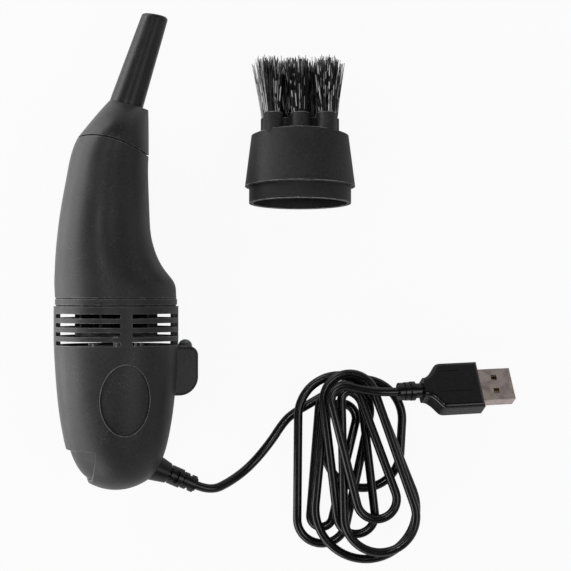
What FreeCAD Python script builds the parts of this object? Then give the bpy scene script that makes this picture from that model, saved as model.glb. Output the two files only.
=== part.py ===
import FreeCAD, Part
import math
import os

# Desktop mini vacuum cleaner with its loose brush head and its coiled lead, millimetres, +Z up.
# The vacuum lies on its side, nozzle towards +Y. The barrel's axis is parallel to Y.
# Barrel pieces are drawn about a Y axis through zero, with the duct seam at zero and the parting
# plane level, then rolled about that axis and carried to their place.

Vector = FreeCAD.Vector
axis_y = Vector(0, 1, 0)
axis_z = Vector(0, 0, 1)
origin = Vector(0, 0, 0)

# Fits and cuts
overrun = 1.0
fit_gap = 0.05
seam_gap = 0.55

# Place of the barrel's axis and seam from the middle of the group, and the roll of the motor unit
barrel_x = -58.35
barrel_y = -4.58
roll_angle = 15.0

# Barrel
barrel_radius = 21.4
rim_step = 0.45
rim_band = 2.0
rim_groove = 0.5
rim_groove_depth = 0.35
seam_groove = 0.4
seam_groove_depth = 0.35
barrel_straight = 12.0
barrel_length = 65.7
barrel_wall = 1.6
tail_shares = (
    (0.156, 0.987), (0.349, 0.954), (0.503, 0.913), (0.657, 0.848),
    (0.772, 0.774), (0.849, 0.690), (0.926, 0.544), (0.975, 0.330),
)

# Neck that carries the duct
neck_length = 3.2
neck_wall = 1.5
neck_shoulder = 1.5

# Vent slots
slot_rows = 4
slot_first = 5.75
slot_pitch = 3.1
slot_height = 1.45
top_pillar = 3.9
side_pillar = 5.8

# Oval pad on the upper half
pad_width = 17.0
pad_length = 24.1
pad_middle = 33.9
pad_depth = 0.3

# Duct: oval sections given by shares of its length, rim radius and mouth tilt
duct_length = 52.5
duct_wall = 1.4
duct_foot_wall = 1.1
mouth_tilt = 13.7
mouth_half_width = 12.36
mouth_half_height = 19.3
mouth_offset = -0.88
mouth_arch = 2.0
duct_shares = (
    # length, middle, half width, half height, tilt
    (0.000, 0.000, 1.000, 1.000, 0.00),
    (0.045, -0.010, 0.994, 0.998, 0.00),
    (0.105, -0.029, 0.981, 0.993, 0.00),
    (0.183, -0.098, 0.905, 0.988, 0.00),
    (0.281, -0.161, 0.829, 0.979, 0.00),
    (0.400, -0.193, 0.771, 0.969, 0.00),
    (0.555, -0.181, 0.728, 0.959, 0.26),
    (0.762, -0.139, 0.673, 0.943, 0.58),
)

# Nozzle adapter, in the mouth's frame
adapter_length = 14.9
adapter_shift = 1.77
adapter_top_radius = 6.9
adapter_shoulder = 2.4
adapter_sleeve_wall = 1.2
adapter_sleeve_gap = 0.2
adapter_sleeve_length = 5.0
adapter_lip = 0.8

# Nozzle tube
tube_tilt = 18.15
tube_shift = 4.7
tube_rise = 15.5
tube_length = 31.9
tube_base_radius = 5.76
tube_tip_radius = 4.44
tube_bore_radius = 4.1
tube_tip_bore = 2.95
tube_socket = 6.0
tube_tip_round = 1.1
tube_tip_cut = 9.0

# Filter
filter_ring_wall = 1.2
filter_ring_depth = 4.2
filter_flange = 1.0
filter_cloth = 0.6
filter_bag_height = 10.5

# Inlet plate
inlet_plate = 1.2
inlet_hole_radius = 7.0

# Impeller
impeller_front = 3.6
impeller_radius = 14.2
impeller_depth = 9.0
impeller_disc = 1.0
impeller_blades = 10
impeller_blade = 0.9
impeller_hub = 3.0
impeller_sweep = 28.0

# Motor
shaft_radius = 1.0
shaft_nose = 1.2
motor_front = 18.2
motor_radius = 12.2
motor_length = 30.8
motor_can_wall = 0.8
motor_boss_radius = 3.0
motor_boss = 1.1
end_cap_depth = 2.8
magnet_thickness = 1.7
magnet_length = 20.0
magnet_span = 130.0
core_radius = 9.1
core_length = 12.4
core_slots = 3
core_slot = 1.6
core_slot_floor = 4.5
winding_radius = 7.4
winding_length = 3.6
commutator_radius = 2.4
commutator_length = 2.6
brush_leaf = 0.5
brush_leaf_height = 3.0
terminal_width = 2.0
terminal_thickness = 0.5
terminal_length = 3.0
terminal_reach = 7.0

# Motor bracket and cradle
bracket_thickness = 1.6
bracket_windows = 6
bracket_window_radius = 2.6
bracket_window_ring = 15.6
bracket_ledge = 1.0
bracket_ledge_depth = 2.0
cradle_front = 43.0
cradle_thickness = 1.5
wire_notch = 5.6

# Screws: rows of the housing screws as (in from the barrel's bore, behind the seam)
screw_rows = ((3.4, 21.6), (4.2, 40.0))
boss_radius = 2.0
screw_radius = 0.9
screw_head_radius = 1.7
screw_head_height = 1.3
screw_bite = 5.0
screw_head_depth = 6.0
screw_cross = 0.5
motor_screw_ring = 8.0
motor_screw_radius = 0.9
motor_screw_length = 3.6

# Power button in the rear corner
button_length = 14.3
button_side = 9.3
button_inset = 1.25
button_wall = 1.3
button_lip = 1.0
button_flange = 1.1
button_pocket = 2.6
button_travel = 1.0
button_edge_gap = 0.4

# Circuit board, switch and what stands on the board
board_width = 13.0
board_behind = 0.2
board_length = 9.6
board_thickness = 1.2
board_top = -2.2
board_post = 1.6
board_post_inset = 1.8
switch_width = 5.6
switch_length = 6.4
switch_height = 4.0
switch_inset = 9.1
switch_offset = 1.6
plunger_radius = 1.0
plunger_depth = 2.0
resistor_radius = 0.9
resistor_length = 3.6

# Lamp housing at the side and its lamp
lamp_front = 16.4
lamp_length = 17.1
lamp_stand = 6.6
lamp_height = 10.0
lamp_wall = 0.9
lamp_edge = 1.2
lamp_corner = 3.2
lamp_tail_round = 6.6
led_radius = 2.5
led_out = 2.8
led_stand = 2.3
led_depth = 4.6
led_flange = 0.3
led_flange_height = 1.0
lead_radius = 0.25
lead_spread = 1.27
lead_length = 5.0

# Strain relief boot and where it leaves the barrel
boot_tilt = 24.2
boot_inset = 7.5
boot_rise = 7.0
boot_cone_base = 5.1
boot_cone_top = 3.6
boot_cone = 4.6
boot_core = 2.3
boot_collar_radii = (3.35, 2.95)
boot_collar = 4.3
boot_collar_gap = 0.8
boot_tip = 0.6
boot_neck = 2.6
boot_flange = 3.3
boot_flange_thickness = 1.2
boot_window = 1.3
boot_window_depth = 1.1
boot_bury = 3.0

# Wires inside
wire_radius = 0.5
wire_pair = 1.2
wire_height = 3.4
wire_clearance = 0.2
wire_first_run = 1.6
wire_hole = 1.6
wire_hole_behind = 29.5
wire_turn_behind = 36.5

# Cord: each bend takes this share of the shorter of its two runs
bend_share = 0.45
cord_radius = 1.55
cord_floor = 1.6

cord_exit_run = 5.9
lead_route = [
    Vector(-19.2, -69.0, 7.6), Vector(-12.6, -64.3, 3.4), Vector(-5.6, -56.2, 1.8),
    Vector(-0.4, -48.2, 1.6),
]

# Coil: seven loops in four layers. Each loop bends round a top and a bottom, and the rows give
# the middle across, the middle along, the radius and the layer of each bend in the cord's order.
coil_rise = 3.7
coil_bends = (
    (27.30, -47.63, 14.21, 0), (27.53, -58.71, 13.35, 0),
    (19.80, -47.23, 5.25, 0), (12.72, -81.45, 3.97, 1),
    (20.85, -44.40, 9.08, 1), (12.92, -82.45, 8.78, 1),
    (18.91, -46.08, 14.44, 2), (28.23, -78.44, 17.75, 2),
    (20.50, -43.54, 6.62, 2), (24.79, -80.73, 6.65, 2),
    (22.50, -40.07, 9.19, 3), (33.05, -80.74, 12.59, 3),
    (22.93, -40.12, 3.37, 3), (31.83, -74.67, 7.02, 3),
    (20.83, -39.78, 4.89, 4),
)
coil_start = Vector(8.4, -42.2, 0)
coil_stop = Vector(25.0, -35.9, 0)
coil_end_run = 3.1
coil_sample = 0.8
coil_apart = 14.0

# Plug: ringed boot, shouldered body, shell with two holes, tongue and contacts
plug_boot_length = 8.6
plug_boot_radius = 3.5
plug_boot_tip_radius = 3.1
plug_boot_core = 2.6
plug_boot_rings = 3
plug_ring_length = 2.2
plug_width = 17.4
plug_height = 8.0
plug_shoulder = 7.5
plug_body_length = 21.0
plug_edge = 1.5
plug_line = 0.35
plug_line_height = 0.2
plug_line_places = ((6.0, 13.5, 5.6), (5.5, 17.5, -2.2))
shell_width = 12.0
shell_height = 4.5
shell_wall = 0.3
shell_length = 12.0
shell_bury = 4.0
shell_hole = 2.1
shell_hole_middle = 5.6
shell_hole_spread = 5.2
tongue_width = 11.0
tongue_height = 1.9
tongue_length = 11.2
contact_width = 1.0
contact_height = 0.15
contact_pitches = (-3.5, -1.0, 1.0, 3.5)
contact_start = 1.5
plug_pitch = 14.0
plug_roll = -29.0
plug_yaw = 2.0
plug_start = Vector(39.3, -37.0, 14.85)

# Brush head: it takes the mouth's size, and its spigot plugs into the mouth
brush_skirt_length = 19.6
brush_top_half_width = 16.9
brush_top_half_height = 9.2
brush_spigot_length = 6.0
brush_wall = 1.3
brush_crown = 1.4
brush_slot_width = 20.0
brush_slot_height = 2.6
tuft_boss_radius = 3.4
tuft_boss_length = 5.6
tuft_front_places = (-9.4, 0.0, 9.4)
tuft_back_places = (-10.5, -3.5, 3.5, 10.5)
tuft_row = 4.3
tuft_root_radius = 2.5
tuft_tip_radius = 2.9
tuft_length = 19.2
tuft_bury = 3.0
tuft_fan = 2.2
tuft_rest_lean = 7.0
brush_x = 5.1
brush_y = 34.6
brush_tilt = 8.5


def ring(outer, inner, start, stop):
    """A tube about the Y axis between two places on it."""
    length = stop - start
    base = Vector(0, start, 0)
    tube = Part.makeCylinder(outer, length, base, axis_y)
    if inner > 0:
        bore = Part.makeCylinder(inner, length + 2 * overrun, base - axis_y * overrun, axis_y)
        tube = tube.cut(bore)
    return tube


def disc(radius, start, stop):
    """A plain cylinder about the Y axis between two places on it."""
    return Part.makeCylinder(radius, stop - start, Vector(0, start, 0), axis_y)


def box(x, y, z):
    """A box from three (low, high) pairs."""
    size = (x[1] - x[0], y[1] - y[0], z[1] - z[0])
    return Part.makeBox(size[0], size[1], size[2], Vector(x[0], y[0], z[0]))


def rod(radius, start, stop):
    """A cylinder between two points."""
    way = stop - start
    return Part.makeCylinder(radius, way.Length, start, way)


def revolve_profile(edges):
    """A solid turned from a closed outline about the Y axis."""
    face = Part.Face(Part.Wire(edges))
    solid = face.revolve(origin, axis_y, 360)
    return solid if isinstance(solid, Part.Solid) else Part.Solid(solid.Shells[0])


def polyline(points):
    """Straight edges through a row of points."""
    return [Part.LineSegment(a, b).toShape() for a, b in zip(points, points[1:])]


def tail_curve(radius, length):
    """The rounded end of the barrel from its straight part to the axis."""
    reach = length - barrel_straight
    points = [Vector(radius, -barrel_straight, 0)]
    for along, across in tail_shares:
        points.append(Vector(radius * across, -barrel_straight - reach * along, 0))
    points.append(Vector(0, -length, 0))
    curve = Part.BSplineCurve()
    curve.interpolate(Points=points, InitialTangent=-axis_y, FinalTangent=Vector(-1, 0, 0))
    return curve.toShape()


def barrel_form(inset):
    """The barrel without its rim details, every face set in by a distance."""
    radius = barrel_radius - inset
    length = barrel_length - inset
    start = Vector(radius, -barrel_straight, 0)
    corner = Vector(radius, 0, 0)
    edges = polyline([Vector(0, -length, 0), origin, corner, start])
    return revolve_profile(edges + [tail_curve(radius, length)])


def barrel_outside():
    """The barrel with its narrower rim band and the groove behind it."""
    outer = barrel_form(0)
    band = ring(barrel_radius + overrun, rim_radius, -rim_band, overrun)
    groove = ring(barrel_radius + overrun, rim_radius - rim_groove_depth,
                  -rim_band - rim_groove, -rim_band)
    return outer.cut(band).cut(groove)


rim_radius = barrel_radius - rim_step
lamp_reach = barrel_radius + lamp_stand
led_place = barrel_radius + led_out
button_front = barrel_length - button_length
board_start = button_front + board_behind
switch_middle = barrel_length - switch_inset
boot_u = barrel_radius - boot_inset
boot_v = boot_rise - barrel_length
tube_base_u = mouth_offset + tube_shift
tube_base_v = duct_length + tube_rise
barrel_bore = barrel_radius - barrel_wall
screw_places = [(side * (barrel_bore - inset), behind)
                for inset, behind in screw_rows for side in (1, -1)]
neck_radius = rim_radius - duct_foot_wall - fit_gap
neck_bore = neck_radius - neck_wall


def oval(middle, half_width, half_height, tilt):
    """An oval wire square to a line that leans from +Y towards +X by a tilt in degrees."""
    lean = math.radians(tilt)
    across = Vector(math.cos(lean), -math.sin(lean), 0) * half_width
    along = Vector(math.sin(lean), math.cos(lean), 0)
    unit_circle = Part.Circle(origin, axis_z, 1).toBSpline().toShape()
    place = FreeCAD.Matrix(
        0, across.x, along.x, middle.x,
        0, across.y, along.y, middle.y,
        -half_height, 0, 0, middle.z)
    return Part.Wire([unit_circle.transformGeometry(place)])


def oval_loft(stations, inset):
    """A solid through ovals: (middle, half width, half height, tilt), set in by a distance."""
    wires = []
    for middle, half_width, half_height, tilt in stations:
        wires.append(oval(middle, half_width - inset, half_height - inset, tilt))
    return Part.makeLoft(wires, True, False)


# The mouth's frame: its middle, the way out of it and the way across it
mouth_lean = math.radians(mouth_tilt)
mouth_middle = Vector(mouth_offset, duct_length, 0)
mouth_out = Vector(math.sin(mouth_lean), math.cos(mouth_lean), 0)
mouth_across = Vector(math.cos(mouth_lean), -math.sin(mouth_lean), 0)


def mouth_point(out, across):
    """A point in the mouth's frame."""
    return mouth_middle + mouth_out * out + mouth_across * across


def adapter_station(out, half_height):
    """An oval on the adapter's straight-sided cone, at a distance out of the mouth."""
    share = out / adapter_length
    half_width = mouth_half_width + (adapter_top_radius - mouth_half_width) * share
    return (mouth_point(out, adapter_shift * share), half_width, half_height, mouth_tilt)


def duct_stations():
    """The duct's ovals from its foot to just past the mouth."""
    stations = []
    for along, middle, width, height, tilt in duct_shares:
        centre = Vector(rim_radius * middle, duct_length * along, 0)
        stations.append((centre, rim_radius * width, rim_radius * height, mouth_tilt * tilt))
    stations.append((mouth_middle, mouth_half_width, mouth_half_height, mouth_tilt))
    stations.append(adapter_station(adapter_shoulder, mouth_half_height))
    return stations


def mouth_arch_form(gap):
    """The round form that parts adapter and duct, so that their joint arches at its top."""
    radius = (mouth_half_height ** 2 + mouth_arch ** 2) / (2 * mouth_arch)
    reach = 2 * barrel_radius
    centre = mouth_point(radius, -reach)
    return Part.makeCylinder(radius + gap, 2 * reach, centre, mouth_across)


def make_duct():
    """The bent duct: one tapering shell, open at its foot and at its oval mouth."""
    stations = duct_stations()
    shell = oval_loft(stations, 0).cut(oval_loft(stations, duct_wall))
    shell = shell.cut(mouth_arch_form(seam_gap))
    seat = neck_length + filter_flange + fit_gap
    seam = ring(barrel_radius + overrun, rim_radius - seam_groove_depth, -overrun, seam_groove)
    return shell.cut(disc(neck_radius + fit_gap, -overrun, seat)).cut(seam)


def tube_frame():
    """The nozzle tube's base point on the adapter's rim and its direction."""
    lean = math.radians(tube_tilt)
    return Vector(tube_base_u, tube_base_v, 0), Vector(math.sin(lean), math.cos(lean), 0)


def make_nozzle_tube():
    """The soft nozzle tube with its tapering bore and slanted, rounded tip."""
    base, way = tube_frame()
    body = Part.makeCone(tube_base_radius, tube_tip_radius, tube_length, base, way)
    foot = base - way * tube_socket
    body = body.fuse(Part.makeCylinder(tube_base_radius, tube_socket, foot, way))
    lean = math.radians(tube_tilt - tube_tip_cut)
    square = Vector(math.sin(lean), math.cos(lean), 0)
    slice_height = 2 * tube_tip_radius
    drop = tube_tip_radius * math.tan(math.radians(tube_tip_cut))
    tip = base + way * (tube_length - drop)
    body = body.cut(Part.makeCylinder(4 * tube_tip_radius, slice_height, tip, square))
    body = body.removeSplitter()
    rim = max(body.Edges, key=lambda edge: edge.CenterOfMass.y)
    body = body.makeFillet(tube_tip_round, [rim])
    bore_length = tube_length + tube_socket + 2 * overrun
    bore = Part.makeCone(tube_bore_radius, tube_tip_bore, bore_length, foot - way * overrun, way)
    return body.cut(bore)


def make_adapter():
    """The oblique cone from the oval mouth to the tube, with the sleeve that plugs into it."""
    shoulder = adapter_station(adapter_shoulder, mouth_half_height)
    stations = [
        adapter_station(0, mouth_half_height), shoulder,
        adapter_station(adapter_length, adapter_top_radius)]
    cone = oval_loft(stations, 0).common(mouth_arch_form(0))
    sleeve_inset = duct_wall + adapter_sleeve_gap
    half_width = mouth_half_width - sleeve_inset
    half_height = mouth_half_height - sleeve_inset
    back = mouth_point(-adapter_sleeve_length, 0)
    front = mouth_point(adapter_shoulder, 0)
    sleeve = oval_loft([(back, half_width, half_height, mouth_tilt),
                        (front, half_width, half_height, mouth_tilt)], 0)
    base, way = tube_frame()
    throat = mouth_point(adapter_length - tube_socket - adapter_lip, adapter_shift / 2)
    bore_width = half_width - adapter_sleeve_wall
    bore_height = half_height - adapter_sleeve_wall
    hollow = oval_loft([(back, bore_width, bore_height, mouth_tilt),
                        (mouth_middle, bore_width, bore_height, mouth_tilt),
                        (throat, tube_bore_radius, tube_bore_radius, mouth_tilt)], 0)
    passage = rod(tube_bore_radius, base - way * (tube_socket + 3 * overrun), base)
    socket = rod(tube_base_radius + fit_gap, base - way * tube_socket, base + way * tube_length)
    return cone.fuse(sleeve).cut(hollow).cut(passage).cut(socket)


def make_filter_frame():
    """The ring that stands in the neck with a flange on the neck's front face."""
    stop = neck_length + filter_flange
    body = ring(neck_bore - fit_gap, neck_bore - fit_gap - filter_ring_wall,
                neck_length - filter_ring_depth, stop)
    flange = ring(neck_radius - fit_gap, neck_bore - filter_ring_wall, neck_length, stop)
    return body.fuse(flange).removeSplitter()


def bag_dome(inset):
    """A cylinder that ends in a dome, every face but the open end set in by a distance."""
    radius = neck_bore - filter_ring_wall - 2 * fit_gap - inset
    start = neck_length + filter_flange - filter_ring_depth
    spring = neck_length + filter_flange
    height = filter_bag_height - inset
    half_turn = math.sqrt(0.5)
    middle = Vector(radius * half_turn, spring + height * half_turn, 0)
    crown = Vector(0, spring + height, 0)
    foot = Vector(radius, start, 0)
    shoulder = Vector(radius, spring, 0)
    edges = polyline([crown, Vector(0, start, 0), foot, shoulder])
    dome = Part.BSplineCurve()
    dome.interpolate(Points=[shoulder, middle, crown], InitialTangent=axis_y,
                     FinalTangent=Vector(-1, 0, 0))
    return revolve_profile(edges + [dome.toShape()])


def make_filter_bag():
    """The cloth dome that stands in the ring, open towards the fan."""
    return bag_dome(0).cut(bag_dome(filter_cloth))


def make_inlet_plate():
    """The round plate with the fan's eye, seated behind the neck's shoulder."""
    start = -neck_shoulder - inlet_plate
    return ring(barrel_bore - fit_gap, inlet_hole_radius, start, -neck_shoulder)


def slab(low, high):
    """The part of space between two heights over the parting plane."""
    reach = 2 * barrel_length
    return box((-reach, reach), (-reach, reach), (low, high))


def slot_cutters():
    """The rows of vent slots with the pillars left between them."""
    rows = []
    for row in range(slot_rows):
        middle = -slot_first - slot_pitch * row
        rows.append(ring(barrel_radius + overrun, barrel_bore - overrun,
                         middle - slot_height / 2, middle + slot_height / 2))
    reach = barrel_radius + 2 * overrun
    length = (-slot_first - slot_pitch * slot_rows, 0)
    upright = box((-top_pillar / 2, top_pillar / 2), length, (-reach, reach))
    level = box((-reach, reach), length, (-side_pillar / 2, side_pillar / 2))
    return [row.cut(upright).cut(level) for row in rows]


def pad_recess():
    """The shallow oval pad on top of the upper half."""
    middle = Vector(0, -pad_middle, 0)
    outline = Part.Ellipse(middle, pad_length / 2, pad_width / 2)
    turned = outline.toShape()
    turned.rotate(middle, axis_z, 90)
    prism = Part.Face(Part.Wire([turned])).extrude(axis_z * 2 * barrel_radius)
    return prism.cut(barrel_form(pad_depth))


def boot_axis():
    """The boot's place on the barrel and its direction."""
    lean = math.radians(boot_tilt)
    return Vector(boot_u, boot_v, 0), Vector(math.cos(lean), -math.sin(lean), 0)


def boot_point(along):
    """A point on the boot's axis."""
    start, way = boot_axis()
    return start + way * along


def button_zone(margin):
    """The rear corner that belongs to the power button, grown by a margin under the lip."""
    reach = 2 * barrel_radius
    return box((-reach, -button_side + margin), (-barrel_length - reach, -button_front + margin),
               (-reach, reach))


def bosses():
    """The screw bosses, from wall to wall through the parting plane."""
    columns = []
    for across, behind in screw_places:
        low = Vector(across, -behind, -barrel_radius)
        high = Vector(across, -behind, barrel_radius)
        columns.append(rod(boss_radius, low, high).common(barrel_form(barrel_wall / 2)))
    return columns


def inner_ribs():
    """The ledge behind the motor bracket and the cradle that carries the motor's rear."""
    ledge_stop = -motor_front
    ledge = ring(barrel_bore + barrel_wall / 2, barrel_bore - bracket_ledge_depth,
                 ledge_stop - bracket_ledge, ledge_stop)
    cradle = disc(barrel_radius, -cradle_front - cradle_thickness, -cradle_front)
    cradle = cradle.common(barrel_form(barrel_wall / 2))
    cradle = cradle.cut(disc(motor_radius + fit_gap, -barrel_length, 0))
    notch = box((motor_radius - overrun, barrel_radius), (-barrel_length, 0),
                (-wire_notch, wire_notch)).common(barrel_form(barrel_wall))
    return [ledge, cradle.cut(notch)]


def wire_window():
    """The hole in the barrel's wall, under the lamp housing, that the lamp's wires pass."""
    middle = -wire_hole_behind - wire_hole / 2
    return box((motor_radius, lamp_reach - lamp_wall),
               (middle - 1.5 * wire_hole, middle + 1.5 * wire_hole),
               (wire_radius, wire_height + wire_hole))


def housing_shell():
    """The closed shell of both halves before it is parted."""
    shell = barrel_outside().fuse(ring(neck_radius, neck_bore, -overrun, neck_length))
    cavity = barrel_form(barrel_wall)
    cavity = cavity.cut(disc(barrel_radius, -neck_shoulder, overrun))
    shell = shell.cut(cavity).cut(disc(neck_bore, -neck_shoulder - overrun, overrun))
    pocket = button_zone(button_pocket).common(barrel_form(button_lip))
    shell = shell.cut(pocket)
    for piece in inner_ribs() + bosses():
        shell = shell.fuse(piece)
    for cutter in slot_cutters():
        shell = shell.cut(cutter)
    shell = shell.cut(button_zone(0)).cut(wire_window())
    return shell.cut(rod(boot_neck + fit_gap, boot_point(-boot_cone), boot_point(boot_cone)))


def make_upper_housing(shell):
    """The half towards the viewer, with the oval pad and blind screw holes."""
    half = shell.common(slab(0, 2 * barrel_radius)).cut(pad_recess())
    for across, behind in screw_places:
        foot = Vector(across, -behind, -overrun)
        top = Vector(across, -behind, screw_bite + fit_gap)
        half = half.cut(rod(screw_radius + fit_gap, foot, top))
    return half


def make_lower_housing(shell):
    """The half that rests, with recessed screw holes and posts under the circuit board."""
    half = shell.common(slab(-2 * barrel_radius, 0))
    for across, behind in screw_places:
        top = Vector(across, -behind, overrun)
        seat = Vector(across, -behind, -screw_head_depth)
        deep = Vector(across, -behind, -2 * barrel_radius)
        half = half.cut(rod(screw_radius + fit_gap, seat, top))
        half = half.cut(rod(screw_head_radius + fit_gap, deep, seat))
    for across, along in board_corners():
        foot = Vector(across, along, -barrel_radius)
        top = Vector(across, along, board_top - board_thickness)
        half = half.fuse(rod(board_post, foot, top).common(barrel_form(barrel_wall / 2)))
    return half


def board_corners():
    """Places of the posts under the circuit board."""
    side = board_width / 2 - board_post_inset
    rear = -board_start - board_length + board_post_inset
    return ((side, -board_start - board_post_inset), (0, rear))


def make_housing_screws():
    """Four screws that hold the halves together, heads in the lower half."""
    screws = []
    for across, behind in screw_places:
        seat = Vector(across, -behind, -screw_head_depth)
        low = seat - axis_z * screw_head_height
        shank = rod(screw_radius, seat, Vector(across, -behind, screw_bite))
        head = rod(screw_head_radius, low, seat)
        bit = screw_cross / 2
        arm = screw_head_radius / 2
        depth = (low.z - overrun, low.z + screw_head_height / 2)
        slot = box((across - arm, across + arm), (-behind - bit, -behind + bit), depth)
        cross = box((across - bit, across + bit), (-behind - arm, -behind + arm), depth)
        screws.append(shank.fuse(head).cut(slot).cut(cross))
    return Part.makeCompound(screws)


def make_motor_bracket():
    """The plate in front of the motor, with windows for the air."""
    plate = ring(barrel_radius, motor_boss_radius + fit_gap,
                 -motor_front, -motor_front + bracket_thickness)
    plate = plate.common(barrel_form(barrel_wall + fit_gap))
    for window in range(bracket_windows):
        angle = 2 * math.pi * window / bracket_windows
        x = bracket_window_ring * math.cos(angle)
        z = bracket_window_ring * math.sin(angle)
        low = Vector(x, -motor_front - overrun, z)
        plate = plate.cut(rod(bracket_window_radius, low, Vector(x, 0, z)))
    for x in (-motor_screw_ring, motor_screw_ring):
        low = Vector(x, -motor_front - overrun, 0)
        plate = plate.cut(rod(motor_screw_radius + fit_gap, low, Vector(x, 0, 0)))
    return plate


def make_motor_screws():
    """Two short screws from the bracket into the motor."""
    screws = []
    face = -motor_front + bracket_thickness
    for x in (-motor_screw_ring, motor_screw_ring):
        shank = rod(motor_screw_radius, Vector(x, face - motor_screw_length, 0), Vector(x, face, 0))
        head = rod(screw_head_radius, Vector(x, face, 0), Vector(x, face + screw_head_height, 0))
        slot = box((x - screw_head_radius, x + screw_head_radius),
                   (face + screw_head_height / 2, face + 2 * screw_head_height),
                   (-screw_cross / 2, screw_cross / 2))
        screws.append(shank.fuse(head).cut(slot))
    return Part.makeCompound(screws)


motor_back = -motor_front - motor_length
can_bore = motor_radius - motor_can_wall


def make_motor_can():
    """The steel cup of the motor with the front bush's boss."""
    can = disc(motor_radius, motor_back, -motor_front)
    can = can.cut(disc(can_bore, motor_back - overrun, -motor_front - motor_can_wall))
    can = can.fuse(disc(motor_boss_radius, -motor_front, -motor_front + motor_boss))
    can = can.cut(disc(motor_boss_radius - motor_can_wall, -motor_front - overrun, 0))
    for x in (-motor_screw_ring, motor_screw_ring):
        hole = rod(motor_screw_radius + fit_gap, Vector(x, -motor_front - overrun, 0),
                   Vector(x, 0, 0))
        can = can.cut(hole)
    return can


def make_motor_bushes():
    """The two plain bearings that carry the shaft."""
    outer = motor_boss_radius - motor_can_wall - fit_gap
    front = ring(outer, shaft_radius + fit_gap, -motor_front - motor_can_wall,
                 -motor_front + motor_boss)
    rear = ring(outer, shaft_radius + fit_gap, motor_back - motor_boss, motor_back + end_cap_depth)
    return Part.makeCompound([front, rear])


def make_motor_end_cap():
    """The plastic cap that closes the motor behind, with the rear bush's boss."""
    cap = disc(can_bore - fit_gap, motor_back, motor_back + end_cap_depth)
    cap = cap.fuse(disc(motor_boss_radius, motor_back - motor_boss, motor_back))
    cap = cap.cut(disc(motor_boss_radius - motor_can_wall, motor_back - 2 * motor_boss, 0))
    for side in (-1, 1):
        cap = cap.cut(terminal_box(side, fit_gap))
    return cap


def terminal_box(side, grow):
    """One terminal tab's block, grown by a clearance."""
    middle = side * terminal_reach
    half_width = terminal_width / 2 + grow
    half_thick = terminal_thickness / 2 + grow
    return box((middle - half_thick, middle + half_thick),
               (motor_back - terminal_length, motor_back + end_cap_depth + brush_leaf),
               (-half_width, half_width))


def make_motor_terminals():
    """The terminal tabs with the contact leaves that run on the commutator."""
    tabs = []
    start = motor_back + end_cap_depth
    for side in (-1, 1):
        near = commutator_radius + 2 * fit_gap
        ends = sorted((side * near, side * (terminal_reach + terminal_thickness / 2)))
        foot = box(tuple(ends), (start, start + brush_leaf),
                   (-terminal_width / 2, terminal_width / 2))
        faces = sorted((side * near, side * (near + brush_leaf)))
        leaf = box(tuple(faces), (start, start + brush_leaf + commutator_length / 2),
                   (-brush_leaf_height / 2, brush_leaf_height / 2))
        tabs.append(terminal_box(side, 0).fuse(foot).fuse(leaf).removeSplitter())
    return Part.makeCompound(tabs)


def make_magnets():
    """Two curved magnets against the can's wall."""
    middle = -motor_front - motor_length / 2
    tube = ring(can_bore - fit_gap, can_bore - magnet_thickness,
                middle - magnet_length / 2, middle + magnet_length / 2)
    half_open = math.radians(180 - magnet_span) / 2
    run = 2 * motor_radius
    rise = run * math.tan(half_open)
    length = axis_y * (2 * magnet_length)
    wedges = []
    for side in (-1, 1):
        start = Vector(0, middle - magnet_length, 0)
        corners = [start, start + Vector(side * run, 0, rise), start + Vector(side * run, 0, -rise)]
        face = Part.Face(Part.Wire(polyline(corners + [start])))
        wedges.append(face.extrude(length))
    for wedge in wedges:
        tube = tube.cut(wedge)
    return tube


def make_armature_core():
    """The slotted iron core on the shaft."""
    middle = -motor_front - motor_length / 2
    start = middle - core_length / 2
    core = ring(core_radius, shaft_radius + fit_gap / 2, start, start + core_length)
    for slot in range(core_slots):
        angle = 360 / core_slots * slot + 90
        cutter = box((core_slot_floor, 2 * core_radius),
                     (start - overrun, start + core_length + overrun),
                     (-core_slot / 2, core_slot / 2))
        cutter.rotate(origin, axis_y, angle)
        core = core.cut(cutter)
    return core


def make_windings():
    """The copper coil heads at both ends of the core."""
    middle = -motor_front - motor_length / 2
    inner = shaft_radius + fit_gap
    heads = []
    for side in (-1, 1):
        ends = sorted((middle + side * core_length / 2,
                       middle + side * (core_length / 2 + winding_length)))
        head = ring(winding_radius, inner, ends[0], ends[1])
        outer = [edge for edge in head.Edges
                 if abs(edge.CenterOfMass.y - ends[(side + 1) // 2]) < fit_gap
                 and abs(edge.Length - 2 * math.pi * winding_radius) < fit_gap]
        heads.append(head.makeFillet(winding_length / 2, outer))
    return Part.makeCompound(heads)


def make_commutator():
    """The copper drum that the contact leaves run on."""
    start = motor_back + end_cap_depth + 2 * fit_gap
    return ring(commutator_radius, shaft_radius + fit_gap / 2, start, start + commutator_length)


def make_motor_shaft():
    """The shaft from the impeller's hub to behind the rear bush."""
    return disc(shaft_radius, motor_back - motor_boss - shaft_nose, -impeller_front + shaft_nose / 2)


def make_impeller():
    """The fan wheel: a hub, a disc behind and swept blades."""
    back = -impeller_front - impeller_depth
    wheel = disc(impeller_radius, back, back + impeller_disc)
    wheel = wheel.fuse(disc(impeller_hub, back, -impeller_front))
    limit = disc(impeller_radius, back, -impeller_front)
    for blade in range(impeller_blades):
        plate = box((impeller_hub - impeller_blade, 2 * impeller_radius), (back, -impeller_front),
                    (-impeller_blade / 2, impeller_blade / 2))
        plate.rotate(Vector(impeller_hub, 0, 0), axis_y, impeller_sweep)
        plate.rotate(origin, axis_y, 360 / impeller_blades * blade)
        wheel = wheel.fuse(plate.common(limit))
    return wheel.cut(disc(shaft_radius + fit_gap / 2, -barrel_length, overrun)).removeSplitter()


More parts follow.
